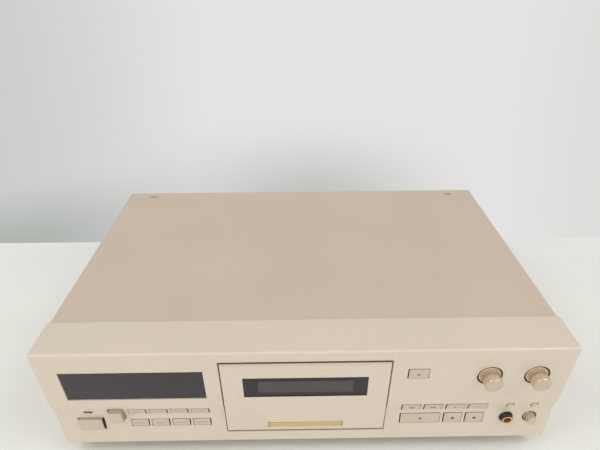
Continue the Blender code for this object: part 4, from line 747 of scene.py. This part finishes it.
# Champagne anodised aluminium of small turned parts.
ANODISED = Finish(
    "anodised_aluminium_turned", "D6C5B0", 0.3, 0.65, second="BFAA8F", grain_mm=0.5, mix=0.3,
)
# Black moulded ABS: satin black with the fine texture of the mould.
BLACK_ABS = Finish(
    "black_abs_moulded", "232221", 0.45, second="2E2C2B", grain_mm=0.5, mix=0.5, bump=0.12,
)
# Moulded rubber: dull black.
RUBBER = Finish(
    "black_rubber_moulded", "222120", 0.82, second="2F2D2B", grain_mm=0.9, mix=0.5, bump=0.15,
)
# Phenolic paper board with tracks under a green-brown mask.
BOARD = Laminate(
    "phenolic_board_with_tracks", "8B6A3E", 0.55, second="5E5A2C", grain_mm=4.0, mix=0.8,
)
# Turned brass: yellow, with browner patches of tarnish.
BRASS = Finish("brass_turned", "C89B5A", 0.28, 1.0, second="A97C3E", grain_mm=0.5)
# Varnished iron laminations of a transformer: dark brown-grey with fine lines.
LAMINATIONS = Finish(
    "varnished_iron_laminations", "5B554D", 0.5, 0.6, second="37332E", grain_mm=1.0,
    grain=Grain.ALONG_X, mix=0.7, bump=0.3,
)
# Black printing ink: matt, very slightly brown. It also paints the shade inside the screws' cross
# recesses.
INK_AND_SHADE = Finish("dark_printing_ink_and_painted_recess_shade", "2B2624", 0.6, bump=0.01)
# Thinner ink of the small marks on the keys, grey-brown.
PALE_INK = Finish("printing_ink_grey_brown", "8C7B66", 0.6, bump=0.01)
# Polyester sleeve of a capacitor: dark blue-black, glossy.
SLEEVE = Finish("polyester_sleeve_of_capacitor", "26272E", 0.3, second="33343E", grain_mm=8.0)
# Black anodised extruded aluminium: dull, with fine draw lines upwards.
HEAT_SINK = Finish(
    "black_anodised_extrusion", "2A2A2B", 0.38, 0.7, second="3A3A3B", grain_mm=0.8,
    grain=Grain.ALONG_Z, mix=0.5,
)
# Coloured rings of the line jacks: moulded polypropylene, satin.
RED_PLASTIC = Finish("red_polypropylene_moulded", "A93A34", 0.42, second="9A332E")
WHITE_PLASTIC = Finish("white_polypropylene_moulded", "DEDBD2", 0.42, second="D3CFC4")
# Gold-plated brass sleeve of the phones jack: warm orange gold.
GOLD_PLATE = Finish("gold_plate_on_brass", "EDB878", 0.26, 0.75, second="CF9552", grain_mm=0.5)
# Glass of the display tube, over its dark plate: glossy near-black.
TUBE_GLASS = Finish(
    "glass_of_display_tube", "2C2C30", 0.1, second="33343A", grain_mm=12.0, coat=0.4,
)


# Pieces


def shade(piece: Object, finish: Finish, body: str) -> Object:
    """Gives a piece its material and the body it rides on.

    Args:
        piece: The object.
        finish: Its finish.
        body: Body of the frame.

    Returns:
        The object.
    """
    piece.data.materials.clear()
    piece.data.materials.append(finish.material())
    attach(piece, body)
    LOG.info("%s rides on %s", piece.name, body)
    return piece


def make(
    name: str, skins: Sequence[Skin], finish: Finish, body: str = "root"
) -> Object:
    """Makes one new piece from its skins.

    Args:
        name: Name of the piece.
        skins: Its closed skins.
        finish: Its finish.
        body: Body of the frame it rides on.

    Returns:
        The object.
    """
    whole = joined(skins)
    mesh = bpy.data.meshes.new(name)
    mesh.from_pydata(whole.points.tolist(), [], whole.faces)
    settle(mesh, copied=False)
    return shade(placed(name, mesh), finish, body)


def refined(node: str, finish: Finish, edge: float = 0.0) -> Object:
    """Copies a node, joins its loose triangles and softens its edges.

    Args:
        node: Name of the node that the copy stands for.
        finish: Its finish.
        edge: Width of the softened edges, or zero.

    Returns:
        The object.
    """
    source = frame["nodes"][node]
    mesh = source.data.copy()
    mesh.name = f"{node}_dressed"
    settle(mesh, copied=True)
    piece = placed(mesh.name, mesh)
    if edge:
        soft = piece.modifiers.new("soft_edges", "BEVEL")
        soft.width = edge
        soft.segments = 2
        soft.limit_method = "ANGLE"
        soft.angle_limit = SOFTENED
        soft.harden_normals = True
        soft.miter_outer = "MITER_ARC"
    piece.modifiers.new("flat_faces_stay_flat", "WEIGHTED_NORMAL").keep_sharp = True
    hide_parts(node)
    return shade(piece, finish, source["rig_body"])


def repaint(piece: Object, *coats: tuple[Finish, np.ndarray]) -> None:
    """Gives faces of a piece other finishes.

    Args:
        piece: The object.
        *coats: Pairs of a finish and a mask of the faces that get it. Where masks share a face,
            the first counts.
    """
    for finish, _ in coats:
        piece.data.materials.append(finish.material())
    numbers = list(range(1, len(coats) + 1))
    picked = np.select([mask for _, mask in coats], numbers, 0)
    piece.data.polygons.foreach_set("material_index", picked.astype(np.int32))


def print_outlines(
    name: str, outlines: Sequence[np.ndarray], x: float, drop: float, face: Face, ink: Finish,
    body: str,
) -> None:
    """Prints outlines around a middle, x and drop, as a thin film that follows a face."""
    film = ((face.depth - INK_PROUD, 0.0), (face.depth + INK_SUNK, 0.0))
    make(name, [face.lean(slab(outline, x, drop, film)) for outline in outlines], ink, body)


@dataclass
class Studio:
    """Camera, lamps, table and backdrop."""

    # Place of the camera, and its turns in degrees: to the right, down, and about its own axis.
    eye: tuple[float, float, float] = (-0.0058, -0.3653, 0.3877)
    yaw: float = 0.53
    pitch: float = 32.22
    roll: float = -0.38
    # Focal length and width of the sensor in millimetres, and the nearest distance in view.
    lens: float = 27.19
    sensor: float = 36.0
    nearest: float = 0.01
    # Half the table's width, and its rear edge: its y in the middle, and the slope to the right.
    table_half: float = 1.6
    table_rear: tuple[float, float] = (0.2065, -0.0033)
    table_paint: Finish = Finish(
        "table_laminate", "F2F2ED", 0.5, second="EAEBE6", grain_mm=120.0, mix=0.5, bump=0.0,
    )
    # Name, place, width and height, and power in watts of each lamp, and the point they face.
    lamps: tuple[tuple[str, tuple[float, float, float], tuple[float, float], float], ...] = (
        ("lamp_left", (-0.95, -0.35, 1.25), (0.8, 0.9), 5.5),
        ("lamp_right", (0.95, -0.35, 1.25), (0.8, 0.9), 5.5),
        ("lamp_front", (0.0, -1.6, 0.3), (2.4, 0.8), 6.0),
    )
    lit: tuple[float, float, float] = (0.0, 0.0, 0.05)
    # The wall's colours, all but the first with painted shade: in the middle, darker to the left,
    # darker still low down there, darker to the right, and the painted shadow of the deck.
    wall: str = "E4E4E3"
    wall_left: str = "C9CCC8"
    wall_corner: str = "A9AEA9"
    wall_right: str = "DADBD8"
    wall_shadow: str = "BDBDBA"
    # Where each smooth step of the colour starts and ends, along one part of the ray's direction:
    # left, low, right, and low, left and right in the shadow.
    steps: tuple[tuple[str, float, float], ...] = (
        ("X", -0.12, -0.62), ("Z", -0.37, -0.50), ("X", 0.36, 0.66),
        ("Z", -0.31, -0.52), ("X", -0.45, 0.05), ("X", 0.42, 0.05),
    )
    # Colour and strength of the soft light, and how much more of it comes from the front.
    light: str = "FFFEFC"
    ambient: float = 0.6
    ahead: float = 0.08

    def aim(self) -> None:
        """Sets up the camera from its yaw, pitch and roll."""
        yaw, pitch, roll = (math.radians(v) for v in (self.yaw, self.pitch, self.roll))
        level = math.cos(pitch)
        ahead = Vector((math.sin(yaw) * level, math.cos(yaw) * level, -math.sin(pitch)))
        right = Vector((math.cos(yaw), -math.sin(yaw), 0))
        up = right.cross(ahead)
        across = right * math.cos(roll) + up * math.sin(roll)
        upward = up * math.cos(roll) - right * math.sin(roll)
        data = bpy.data.cameras.new("camera")
        data.lens = self.lens
        data.sensor_width = self.sensor
        data.clip_start = self.nearest
        camera = placed("camera", data)
        turn = Matrix((across, upward, -ahead)).transposed().to_4x4()
        camera.matrix_world = Matrix.Translation(self.eye) @ turn
        bpy.context.scene.camera = camera

    def hang_lamps(self) -> None:
        """Adds the soft lamps."""
        for name, place, size, power in self.lamps:
            data = bpy.data.lights.new(name, "AREA")
            data.shape = "RECTANGLE"
            data.size, data.size_y = size
            data.energy = power
            turn = (Vector(self.lit) - Vector(place)).to_track_quat("-Z", "Y")
            lamp = placed(name, data)
            lamp.matrix_world = Matrix.Translation(place) @ turn.to_matrix().to_4x4()

    def table(self) -> None:
        """Lays the pale table top: a flat sheet up to the line where the photo's table ends."""
        half = self.table_half
        rear, slope = self.table_rear
        corners = [
            (-half, -half, 0.0), (half, -half, 0.0),
            (half, rear + slope * half, 0.0), (-half, rear - slope * half, 0.0),
        ]
        mesh = bpy.data.meshes.new("table")
        mesh.from_pydata(corners, [], [[0, 1, 2, 3]])
        mesh.materials.append(self.table_paint.material())
        top = placed("table", mesh)

    def wall_colour(self, tree: NodeTree, parts: Node) -> NodeSocket:
        """Mixes the wall's colours by smooth steps of the ray's direction.

        Args:
            tree: Node tree of the world.
            parts: Node with the parts of the direction.

        Returns:
            Socket with the colour.
        """
        left, low, right, shadow_low, shadow_left, shadow_right = (
            add(
                tree, "MapRange", (parts.outputs[part], *ends), interpolation_type="SMOOTHSTEP"
            ).outputs["Result"]
            for part, *ends in self.steps
        )
        corner, shadow = (
            add(tree, "Math", pair, operation="MULTIPLY").outputs["Value"]
            for pair in ((left, low), (shadow_left, shadow_right))
        )
        deep = add(tree, "Math", (shadow, shadow_low), operation="MULTIPLY").outputs["Value"]
        wall = linear(self.wall)
        for amount, colour in (
            (left, self.wall_left), (corner, self.wall_corner), (right, self.wall_right),
            (deep, self.wall_shadow),
        ):
            inputs = {"Factor": amount, MIX_FROM: wall, MIX_TO: linear(colour)}
            wall = add(tree, "Mix", inputs, data_type="RGBA").outputs[MIX_RESULT]
        return wall

    def backdrop(self) -> None:
        """Gives the world a soft light that is stronger in front, and the wall's colours.

        Rays from the eye, from gloss and through glass see the wall. Other rays see a strength
        that goes evenly from ambient + ahead in front to ambient - ahead behind.
        """
        world = bpy.data.worlds.new("backdrop")
        world.use_nodes = True
        tree = world.node_tree
        tree.nodes.clear()
        way = add(tree, "TexCoord").outputs["Generated"]
        parts = add(tree, "SeparateXYZ", {"Vector": way})
        seen = add(tree, "Background", {"Color": self.wall_colour(tree, parts), "Strength": 1.0})
        front, behind = self.ambient + self.ahead, self.ambient - self.ahead
        strength = add(tree, "MapRange", (parts.outputs["Y"], -1.0, 1.0, front, behind))
        light = add(
            tree, "Background",
            {"Color": linear(self.light), "Strength": strength.outputs["Result"]},
        )
        ray = add(tree, "LightPath").outputs
        either = ray["Is Camera Ray"]
        for kind in ("Is Glossy Ray", "Is Transmission Ray"):
            either = add(tree, "Math", (either, ray[kind]), operation="MAXIMUM").outputs["Value"]
        mixed = add(
            tree, "MixShader", (either, light.outputs["Background"], seen.outputs["Background"])
        )
        add(tree, "OutputWorld", {"Surface": mixed.outputs["Shader"]})
        bpy.context.scene.world = world

    def build(self) -> None:
        """Sets up the whole studio."""
        bpy.context.scene.view_settings.view_transform = "Standard"
        self.aim()
        self.table()
        self.backdrop()
        self.hang_lamps()
        LOG.info("studio is set")


@dataclass
class Case:
    """Pan, cover, rear panel, feet and screws."""

    foot_edge: float = 0.0003
    screw_edge: float = 0.0002
    # Pan head of a rear screw: distances behind the rear panel's face, and radii.
    head: Profile = (
        (-0.0002, 0.0031), (0.0003, 0.0032), (0.0011, 0.0027), (0.0015, 0.0017),
        (0.0012, 0.0015), (0.0010, 0.0),
    )
    head_sides: int = 24
    recess: Profile = ((0.0009, 0.0), (0.00125, 0.0))
    recess_width: float = 0.0006
    recess_length: float = 0.0026
    screws: tuple[tuple[float, float], ...] = (
        (-0.197, 0.008), (-0.066, 0.008), (0.066, 0.008), (0.197, 0.008),
        (-0.197, 0.103), (-0.066, 0.103), (0.066, 0.103), (0.197, 0.103),
        (-0.1915, 0.0795), (-0.1525, 0.0795), (0.114, 0.085), (0.1745, 0.085),
    )

    def shell(self) -> None:
        """Dresses the folded sheets."""
        refined("top_cover", COVER_PAINT)
        refined("chassis_pan", ZINC)
        refined("rear_panel", ZINC)

    def fittings(self) -> None:
        """Dresses the feet and the cover's side screws."""
        for place in ("front_left", "front_right", "rear_left", "rear_right"):
            refined(f"foot_{place}", RUBBER, self.foot_edge)
        for side in ("left", "right"):
            refined(f"cover_screw_{side}", ZINC, self.screw_edge)

    def rear_screws(self) -> None:
        """Adds the rear panel's pan-head screws, each with a dark cross that paints the shade of
        its recess.
        """
        face = extent("rear_panel").back
        head, recess = (
            [(face + depth, size) for depth, size in profile]
            for profile in (self.head, self.recess)
        )
        arms = ((self.recess_width, self.recess_length), (self.recess_length, self.recess_width))
        heads = [turned(head, place, self.head_sides) for place in self.screws]
        crosses = [
            slab(box_outline(*arm, CORNER, 1), *place, recess)
            for place in self.screws for arm in arms
        ]
        make("rear_screw_heads", heads, NICKEL)
        # The dark crosses are painted shade: they stand in for the shade inside the cross recesses.
        make("rear_screw_recess_shade", crosses, INK_AND_SHADE)

    def build(self) -> None:
        """Builds the case."""
        self.shell()
        self.fittings()
        self.rear_screws()


@dataclass
class FrontPanel:
    """Moulded front panel with its print and the display window."""

    # How far the walls of the door's opening, lighter as painted light, lie outside the door.
    opening_side: float = 0.002
    opening_head: float = 0.0015
    opening_foot: float = 0.004
    # Least upward part of these walls' normals: faces that look further down keep their paint.
    opening_up: float = -0.5
    window_edge: float = 0.00015
    tube_depth: float = 0.0065
    arrows_rise: float = 0.0152
    arrows_width: float = 0.0098
    arrows_height: float = 0.0048
    arrows_gap: float = 0.0006
    # Band below the display window where the panel's face carries the arrows.
    arrows_band: tuple[float, float] = (0.010, 0.022)

    def panel(self) -> None:
        """Dresses the panel."""
        panel, door = refined("fascia", PANEL_PAINT), extent("door_panel")
        at = faces_of(panel.data)
        wall = (at.depth > CORNER) & (np.abs(at.ny) < FACING) & (at.nz > self.opening_up)
        across = np.abs(at.x) < door.right + self.opening_side
        high, low = door.top - self.opening_head, door.foot + self.opening_foot
        # The opening's walls get the lighter colour: painted light where light reaches into the
        # gaps round the door.
        repaint(panel, (OPENING_LIGHT, wall & across & (at.drop > high) & (at.drop < low)))

    def display(self) -> None:
        """Dresses the display window, and the board with its display tube behind it."""
        refined("display_window", DISPLAY_ACRYLIC, self.window_edge)
        board, window = refined("front_board_left", BOARD), extent("display_window")
        at = faces_of(board.data)
        near = at.depth < window.back + self.tube_depth
        tube = near & (at.drop > window.top) & (at.drop < window.foot)
        repaint(board, (TUBE_GLASS, tube), (BLACK_ABS, near))
        refined("front_board_right", BOARD)

    def arrows(self) -> None:
        """Prints two arrows that point apart above the power button, on the crease."""
        button, display = extent("power_button"), extent("display_window")
        inner, high = self.arrows_gap / 2, self.arrows_height / 2
        corner = np.array([[self.arrows_width / 2, 0.0], [inner, high], [inner, -high]])
        face = front_face("fascia", *(display.foot + below for below in self.arrows_band))
        outlines = [corner, corner[::-1] * np.array([-1.0, 1.0])]
        print_outlines(
            "power_arrows_print", outlines, button.x, button.drop - self.arrows_rise, face, INK_AND_SHADE,
            "root",
        )

    def build(self) -> None:
        """Builds the front panel."""
        self.panel()
        self.display()
        self.arrows()


class Mark(Enum):
    """Print on the face of a key."""

    BAR = "bar"
    LEFT_TWICE = "left_twice"
    RIGHT_TWICE = "right_twice"
    BOTH_WAYS = "both_ways"
    SQUARE = "square"
    DOT = "dot"
    UP = "up"
    SMALL_SQUARE = "small_square"
    LOW_SQUARE = "low_square"


# Width and height of the marks that are boxes, and turns of the arrows of a pair.
BOX_MARKS = {
    Mark.BAR: (0.0088, 0.0005), Mark.SQUARE: (0.0022, 0.0022),
    Mark.SMALL_SQUARE: (0.0014, 0.0014), Mark.LOW_SQUARE: (0.0015, 0.0012),
}
ARROW_MARKS = {
    Mark.LEFT_TWICE: (math.pi, math.pi), Mark.RIGHT_TWICE: (0.0, 0.0),
    Mark.BOTH_WAYS: (math.pi, 0.0),
}
PALE_MARKS = (Mark.BAR, Mark.SMALL_SQUARE, Mark.LOW_SQUARE)
PAIR_SIZE = 0.0021
PLAY_SQUEEZE = np.array([0.62, 1.15])
UP_SIZE = 0.0022
DOT_RADIUS = 0.0012
DOT_STEPS = 20


def arrow(size: float, shift: float, turn: float) -> np.ndarray:
    """Outlines a triangle that points to the right, turned by an angle and then moved across.

    Args:
        size: Its length and height.
        shift: Distance that it is moved.
        turn: Angle, anticlockwise.

    Returns:
        Its three corners.
    """
    corner = np.array([[-0.5, -0.5], [0.5, 0.0], [-0.5, 0.5]]) * size
    cosine, sine = math.cos(turn), math.sin(turn)
    return corner @ np.array([[cosine, sine], [-sine, cosine]]) + np.array([shift, 0.0])


def mark_outlines(mark: Mark) -> list[np.ndarray]:
    """Gives the outlines of a printed mark.

    Args:
        mark: The mark.

    Returns:
        Its outlines, around its middle.
    """
    if mark in BOX_MARKS:
        return [box_outline(*BOX_MARKS[mark], INK_CORNER, 2)]
    if mark is Mark.DOT:
        return [round_outline(DOT_RADIUS, DOT_STEPS)]
    if mark is Mark.UP:
        return [arrow(UP_SIZE, 0.0, math.pi / 2)]
    half = PAIR_SIZE / 2
    pair = [arrow(PAIR_SIZE, *place) for place in zip((-half, half), ARROW_MARKS[mark])]
    return [outline * PLAY_SQUEEZE for outline in pair] if mark is Mark.BOTH_WAYS else pair


@dataclass
class Keys:
    """Function, transport, eject, timer and power keys, and the two round buttons."""

    edge: float = 0.00025
    flange: float = 0.0011
    flange_height: float = 0.0012
    gap: float = 0.0009
    lining: float = 0.00055
    lining_front: float = 0.0008
    lining_back: float = 0.0026
    sign_drop: float = 0.0004
    # Upward part of a normal from which the timer cap's top edge gets painted shade.
    shade_edge_up: float = 0.5
    marks: dict[str, Mark] = field(default_factory=lambda: {
        **{f"function_key_{number}": Mark.BAR for number in range(1, 9)},
        "rewind_key": Mark.LEFT_TWICE,
        "forward_key": Mark.RIGHT_TWICE,
        "reverse_key": Mark.SMALL_SQUARE,
        "mute_key": Mark.LOW_SQUARE,
        "play_key": Mark.BOTH_WAYS,
        "stop_key": Mark.SQUARE,
        "record_key": Mark.DOT,
        "eject_button": Mark.UP,
    })

    def caps(self) -> None:
        """Dresses every cap: painted front, and sides and tops darkened as painted shade."""
        for name in self.marks:
            cap = refined(name, KEY_PAINT, self.edge)
            # The sides get the dark colour: painted shade of the gap round each cap.
            repaint(cap, (DARK_SIDE_AND_GAP_SHADE, np.abs(faces_of(cap.data).ny) < SIDEWAYS))
        for name, side, shade_edge_up in (
            ("power_button", DARK_SIDE_AND_GAP_SHADE, FACING), ("timer_slider", CAP_TOP_AND_SIDE_SHADE, self.shade_edge_up),
        ):
            cap = refined(name, KEY_PAINT, self.edge)
            at = faces_of(cap.data)
            edge = at.nz > shade_edge_up
            # Tops get the khaki painted shade, sides the dark or the khaki one, and the timer's top
            # edge the dark olive one.
            repaint(
                cap, (CAP_TOP_AND_SIDE_SHADE, at.nz > FACING), (side, ~edge & (np.abs(at.ny) < SIDEWAYS)),
                (TIMER_EDGE_SHADE, edge),
            )
        for name in ("tuning_button", "monitor_button"):
            refined(name, KEY_PAINT, self.edge)

    def linings(self) -> None:
        """Lines the outer wall of each key's hole, where the photo shows paint close to the cap.

        Each lining is a strip from just behind the panel's face to its back, as wide as the gap
        less a running clearance.
        """
        strips = []
        for name in self.marks:
            cap, face = extent(name), front_face(name)
            reach = cap.width / 2 - self.flange + self.gap - self.lining / 2
            outline = box_outline(self.lining, cap.height - 2 * self.flange_height, CORNER, 1)
            film = [(face.depth + back, 0.0) for back in (self.lining_front, self.lining_back)]
            strip = slab(outline, cap.x + math.copysign(reach, cap.x), face.drop, film)
            strips.append(face.lean(strip))
        make("key_hole_linings", strips, PANEL_PAINT)

    def prints(self) -> None:
        """Prints the marks on the caps: bars on the function keys, signs on the others."""
        for name, mark in self.marks.items():
            face = front_face(name)
            drop = face.drop + (0.0 if mark is Mark.BAR else self.sign_drop)
            ink = PALE_INK if mark in PALE_MARKS else INK_AND_SHADE
            print_outlines(
                f"{name}_print", mark_outlines(mark), extent(name).x, drop, face, ink, name
            )

    def build(self) -> None:
        """Builds the keys."""
        self.caps()
        self.linings()
        self.prints()


@dataclass
class Knobs:
    """Two level knobs, turned, with fine flutes on their sides, and the phones level knob."""

    flutes: int = 60
    sides_per_flute: int = 4
    cut: float = 0.00008
    radius: float = 0.0071
    # Head of a level knob: depths behind its front, and how far it falls short of the radius.
    head: Profile = (
        (0.0, 0.0011), (0.00012, 0.0010), (0.00012, 0.0006), (0.0002, 0.0003), (0.0006, 0.00005),
    )
    flutes_start: float = 0.0009
    # Depths behind the panel's face: where the flutes end, and of the plain neck behind them.
    flutes_end: float = -0.0012
    neck: tuple[float, float] = (-0.0009, 0.0001)
    neck_cut: float = 0.0002
    # Skirt: depths behind the panel's face, and how far it falls short of its own radius.
    skirt: Profile = ((0.0001, 0.0004), (0.0005, 0.0), (0.0032, 0.0))
    skirt_back: float = 0.0033
    shaft: float = 0.003
    rim: float = 0.0005
    # Forward part of a normal below which a face is a side.
    steep: float = 0.7
    phones_edge: float = 0.0003

    def profile(self, box: Extent) -> list[tuple[float, float]]:
        """Draws half the section of a level knob, from its front to its back.

        Args:
            box: Box of the knob's node.

        Returns:
            Pairs of a depth and a radius, negative where the side is fluted.
        """
        skirt = box.width / 2
        return [
            (box.front, 0.0),
            *((box.front + back, self.radius - short) for back, short in self.head),
            (box.front + self.flutes_start, -self.radius), (self.flutes_end, -self.radius),
            *((depth, self.radius - self.neck_cut) for depth in self.neck),
            *((depth, skirt - short) for depth, short in self.skirt),
            (self.skirt_back, self.shaft), (box.back, self.shaft), (box.back, 0.0),
        ]

    def level(self, node: str) -> None:
        """Turns one level knob in place of its node, with its skirt's rim dark as painted shade of
        the gap round it, and a polished side.

        Args:
            node: Name of the node.
        """
        box = extent(node)
        finish = TurnedMetal(
            f"{node}_anodised", "D0BFAB", 0.28, 0.45, second="BBA68C", bump=0.06,
            centre=tuple(DATUM.place(box.x, box.front, box.drop)),
        )
        sides = self.flutes * self.sides_per_flute
        skin = turned(self.profile(box), (box.x, box.drop), sides, self.flutes, self.cut)
        knob = make(f"{node}_turned", [skin], finish, node)
        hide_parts(node)
        at = faces_of(knob.data)
        side = np.abs(at.ny) < self.steep
        skirt = np.hypot(at.x - box.x, at.drop - box.drop) > box.width / 2 - self.rim
        # The skirt's rim gets the dark colour: painted shade of the gap round the knob.
        repaint(knob, (DARK_SIDE_AND_GAP_SHADE, side & skirt), (KNOB_SIDE, side & (at.depth < 0.0)))

    def build(self) -> None:
        """Builds the knobs."""
        self.level("input_level_knob")
        self.level("balance_knob")
        refined("phones_level_knob", ANODISED, self.phones_edge)


@dataclass
class PhonesJack:
    """Quarter-inch jack: black collar, gold-plated sleeve and a dark bore."""

    lip: float = 0.0001
    plated_depth: float = 0.02
    # A face looks to the axis where its place across, times its normal, is below this.
    inward: float = -0.0001

    def build(self) -> None:
        """Dresses the jack: gold on its lip, and on the walls that look to the axis."""
        jack, box = refined("phones_jack", BLACK_ABS), extent("phones_jack")
        at = faces_of(jack.data)
        inward = (at.x - box.x) * at.nx + (box.drop - at.drop) * at.nz < self.inward
        lip = at.depth < box.front + self.lip
        repaint(jack, (GOLD_PLATE, lip | (inward & (at.depth < self.plated_depth))))


@dataclass
class Door:
    """Door panel, its window and gilt strip, and the cassette holder."""

    # Bevel along the head: its lowest drop, and the least upward and forward part of its normal.
    bevel_foot: float = 0.03
    bevel_up: float = 0.1
    bevel_ahead: float = 0.8
    # Dark film along the head's bevel, painted shadow: its height, how much narrower than the door
    # it is, and the band of faces it follows.
    head: float = 0.0011
    head_inset: float = 0.0004
    head_band: float = 0.0034
    window_edge: float = 0.00015
    window_corner: float = 0.0003
    border_side: float = 0.0115
    border_top: float = 0.0046
    border_foot: float = 0.0042
    border_film: tuple[float, float] = (-0.00002, 0.00002)
    band: float = 0.0034
    band_inset: float = 0.0003
    band_film: Profile = ((-0.00005, 0.0), (-0.00001, 0.0))
    strip_edge: float = 0.00012
    post_width: float = 0.0013
    post_extra: float = 0.0022
    post_corner: float = 0.0004
    post_rise: float = 0.0004
    post_inset: float = 0.0007
    post_profile: Profile = ((-0.0006, 0.0003), (-0.0003, 0.0), (0.0004, 0.0))

    def panel(self) -> None:
        """Dresses the panel and the holder."""
        panel = refined("door_panel", PANEL_PAINT)
        at = faces_of(panel.data)
        ahead = (at.nz > self.bevel_up) & (at.ny < -self.bevel_ahead)
        bevel = ahead & (at.drop < self.bevel_foot)
        # The door's top side gets the dark colour as painted shade of the gap above it, and the
        # bevel the darker paint as painted shade.
        repaint(panel, (DARK_SIDE_AND_GAP_SHADE, at.nz > FACING), (BEVEL_SHADE, bevel))
        refined("cassette_holder", BLACK_ABS)

    def head_shadow(self) -> None:
        """Adds a painted shadow along the door's head: a dark film on its bevel."""
        box = extent("door_panel")
        face = front_face("door_panel", box.top, box.top + self.head_band)
        outline = box_outline(box.width - self.head_inset, self.head, CORNER, 1)
        print_outlines(
            "door_head_shadow", [outline], box.x, box.top + self.head / 2 + INK_PROUD, face, DARK_SIDE_AND_GAP_SHADE,
            "door",
        )

    def window(self) -> None:
        """Dresses the window and prints its border, a thin ring from one outline to another."""
        refined("door_window", DOOR_ACRYLIC, self.window_edge)
        box = extent("door_window")
        outer = box_outline(box.width, box.height, self.window_corner, 2)
        inner = box_outline(
            box.width - 2 * self.border_side, box.height - self.border_top - self.border_foot,
            self.window_corner, 2,
        ) + np.array([0.0, (self.border_foot - self.border_top) / 2])
        rings = np.stack([outer, inner, inner, outer])
        near, far = (box.front + depth for depth in self.border_film)
        depth = np.array([near, near, far, far])[:, None]
        points = DATUM.place(box.x + rings[..., 0], depth, box.drop - rings[..., 1])
        make("door_window_border", [loft(points, closed=True)], WINDOW_BORDER, "door")
        # A darker band along the window's top: painted shadow.
        outline = box_outline(box.width - 2 * self.band_inset, self.band, INK_CORNER, 2)
        film = [(box.front + depth, amount) for depth, amount in self.band_film]
        band = slab(outline, box.x, box.top + self.band / 2 + self.band_inset, film)
        make("door_window_shadow_band", [band], WINDOW_SHADOW_BAND, "door")

    def strip(self) -> None:
        """Dresses the gilt strip, bare of words, and adds its end posts."""
        refined("door_badge", GILT, self.strip_edge)
        box = extent("door_badge")
        outline = box_outline(self.post_width, box.height + self.post_extra, self.post_corner, 3)
        posts = [
            slab(outline, x, box.drop - self.post_rise, self.post_profile)
            for x in (box.left + self.post_inset, box.right - self.post_inset)
        ]
        make("door_badge_posts", posts, GILT_POST, "door")

    def build(self) -> None:
        """Builds the door."""
        self.panel()
        self.head_shadow()
        self.window()
        self.strip()


@dataclass
class Mechanism:
    """Tape mechanism behind the door: each finish, its slot and the nodes that have it."""

    dress: tuple[tuple[Finish, str, tuple[str, ...]], ...] = (
        (ZINC, "steel", ("mechanism_plate", "capstan_motor", "reel_motor", "idler_arm")),
        (BLACK_ABS, "black", ("reel_table_left", "reel_table_right")),
        (RUBBER, "rubber",
         ("drive_belt", "pinch_roller_left", "pinch_roller_right", "idler_wheel")),
        (NICKEL, "steel", ("flywheel_left", "flywheel_right")),
        (ZINC, "steel", ("head_base",)),
        (BRASS, "brass", ("motor_pulley", "reel_pinion")),
    )

    def build(self) -> None:
        """Dresses the mechanism's pieces."""
        for finish, slot, nodes in self.dress:
            for node in nodes:
                refined(node, finish)


@dataclass
class Electronics:
    """Boards, transformer, line jacks and mains inlet."""

    # Half the jacks' spacing across and upwards, how far they stand out of their block, and the
    # radii of a coloured ring and of its sleeve.
    jack_across: float = 0.0095
    jack_up: float = 0.00725
    jack_reach: float = 0.0084
    jack_radius: float = 0.0064
    sleeve_radius: float = 0.00435
    board_thickness: float = 0.0018
    capacitors_width: float = 0.04

    def rear(self) -> None:
        """Dresses the inlet and the line jacks: nickel sleeves in red and white rings."""
        jacks, box = refined("jack_block", BLACK_ABS), extent("jack_block")
        at = faces_of(jacks.data)
        across = np.where(at.x > box.x, 1, -1)
        up = np.where(at.drop < box.drop, 1, -1)
        away = np.hypot(
            at.x - box.x - across * self.jack_across, at.drop - box.drop + up * self.jack_up
        )
        ring = (at.depth > box.back - self.jack_reach) & (away < self.jack_radius)
        repaint(
            jacks, (NICKEL, ring & (away < self.sleeve_radius)), (RED_PLASTIC, ring & (across > 0)),
            (WHITE_PLASTIC, ring),
        )
        refined("mains_inlet", BLACK_ABS)

    def inside(self) -> None:
        """Dresses the board's capacitors and heat sink, and the transformer."""
        board, box = refined("main_board", BOARD), extent("main_board")
        at = faces_of(board.data)
        raised = at.drop < box.foot - self.board_thickness
        capacitors = raised & (at.x < box.left + self.capacitors_width)
        repaint(board, (SLEEVE, capacitors), (HEAT_SINK, raised))
        refined("transformer", LAMINATIONS)

    def build(self) -> None:
        """Dresses the electronics."""
        self.rear()
        self.inside()


def main() -> None:
    """Builds the studio and the deck."""
    logging.basicConfig(level=logging.INFO, format="%(name)s: %(message)s")
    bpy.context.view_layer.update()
    Studio().build()
    parts = (
        Case(), FrontPanel(), Keys(), Knobs(), PhonesJack(), Door(), Mechanism(), Electronics(),
    )
    for part in parts:
        part.build()
        LOG.info("%s is built", type(part).__name__)
    bpy.context.view_layer.update()


if __name__ == "__main__":
    main()
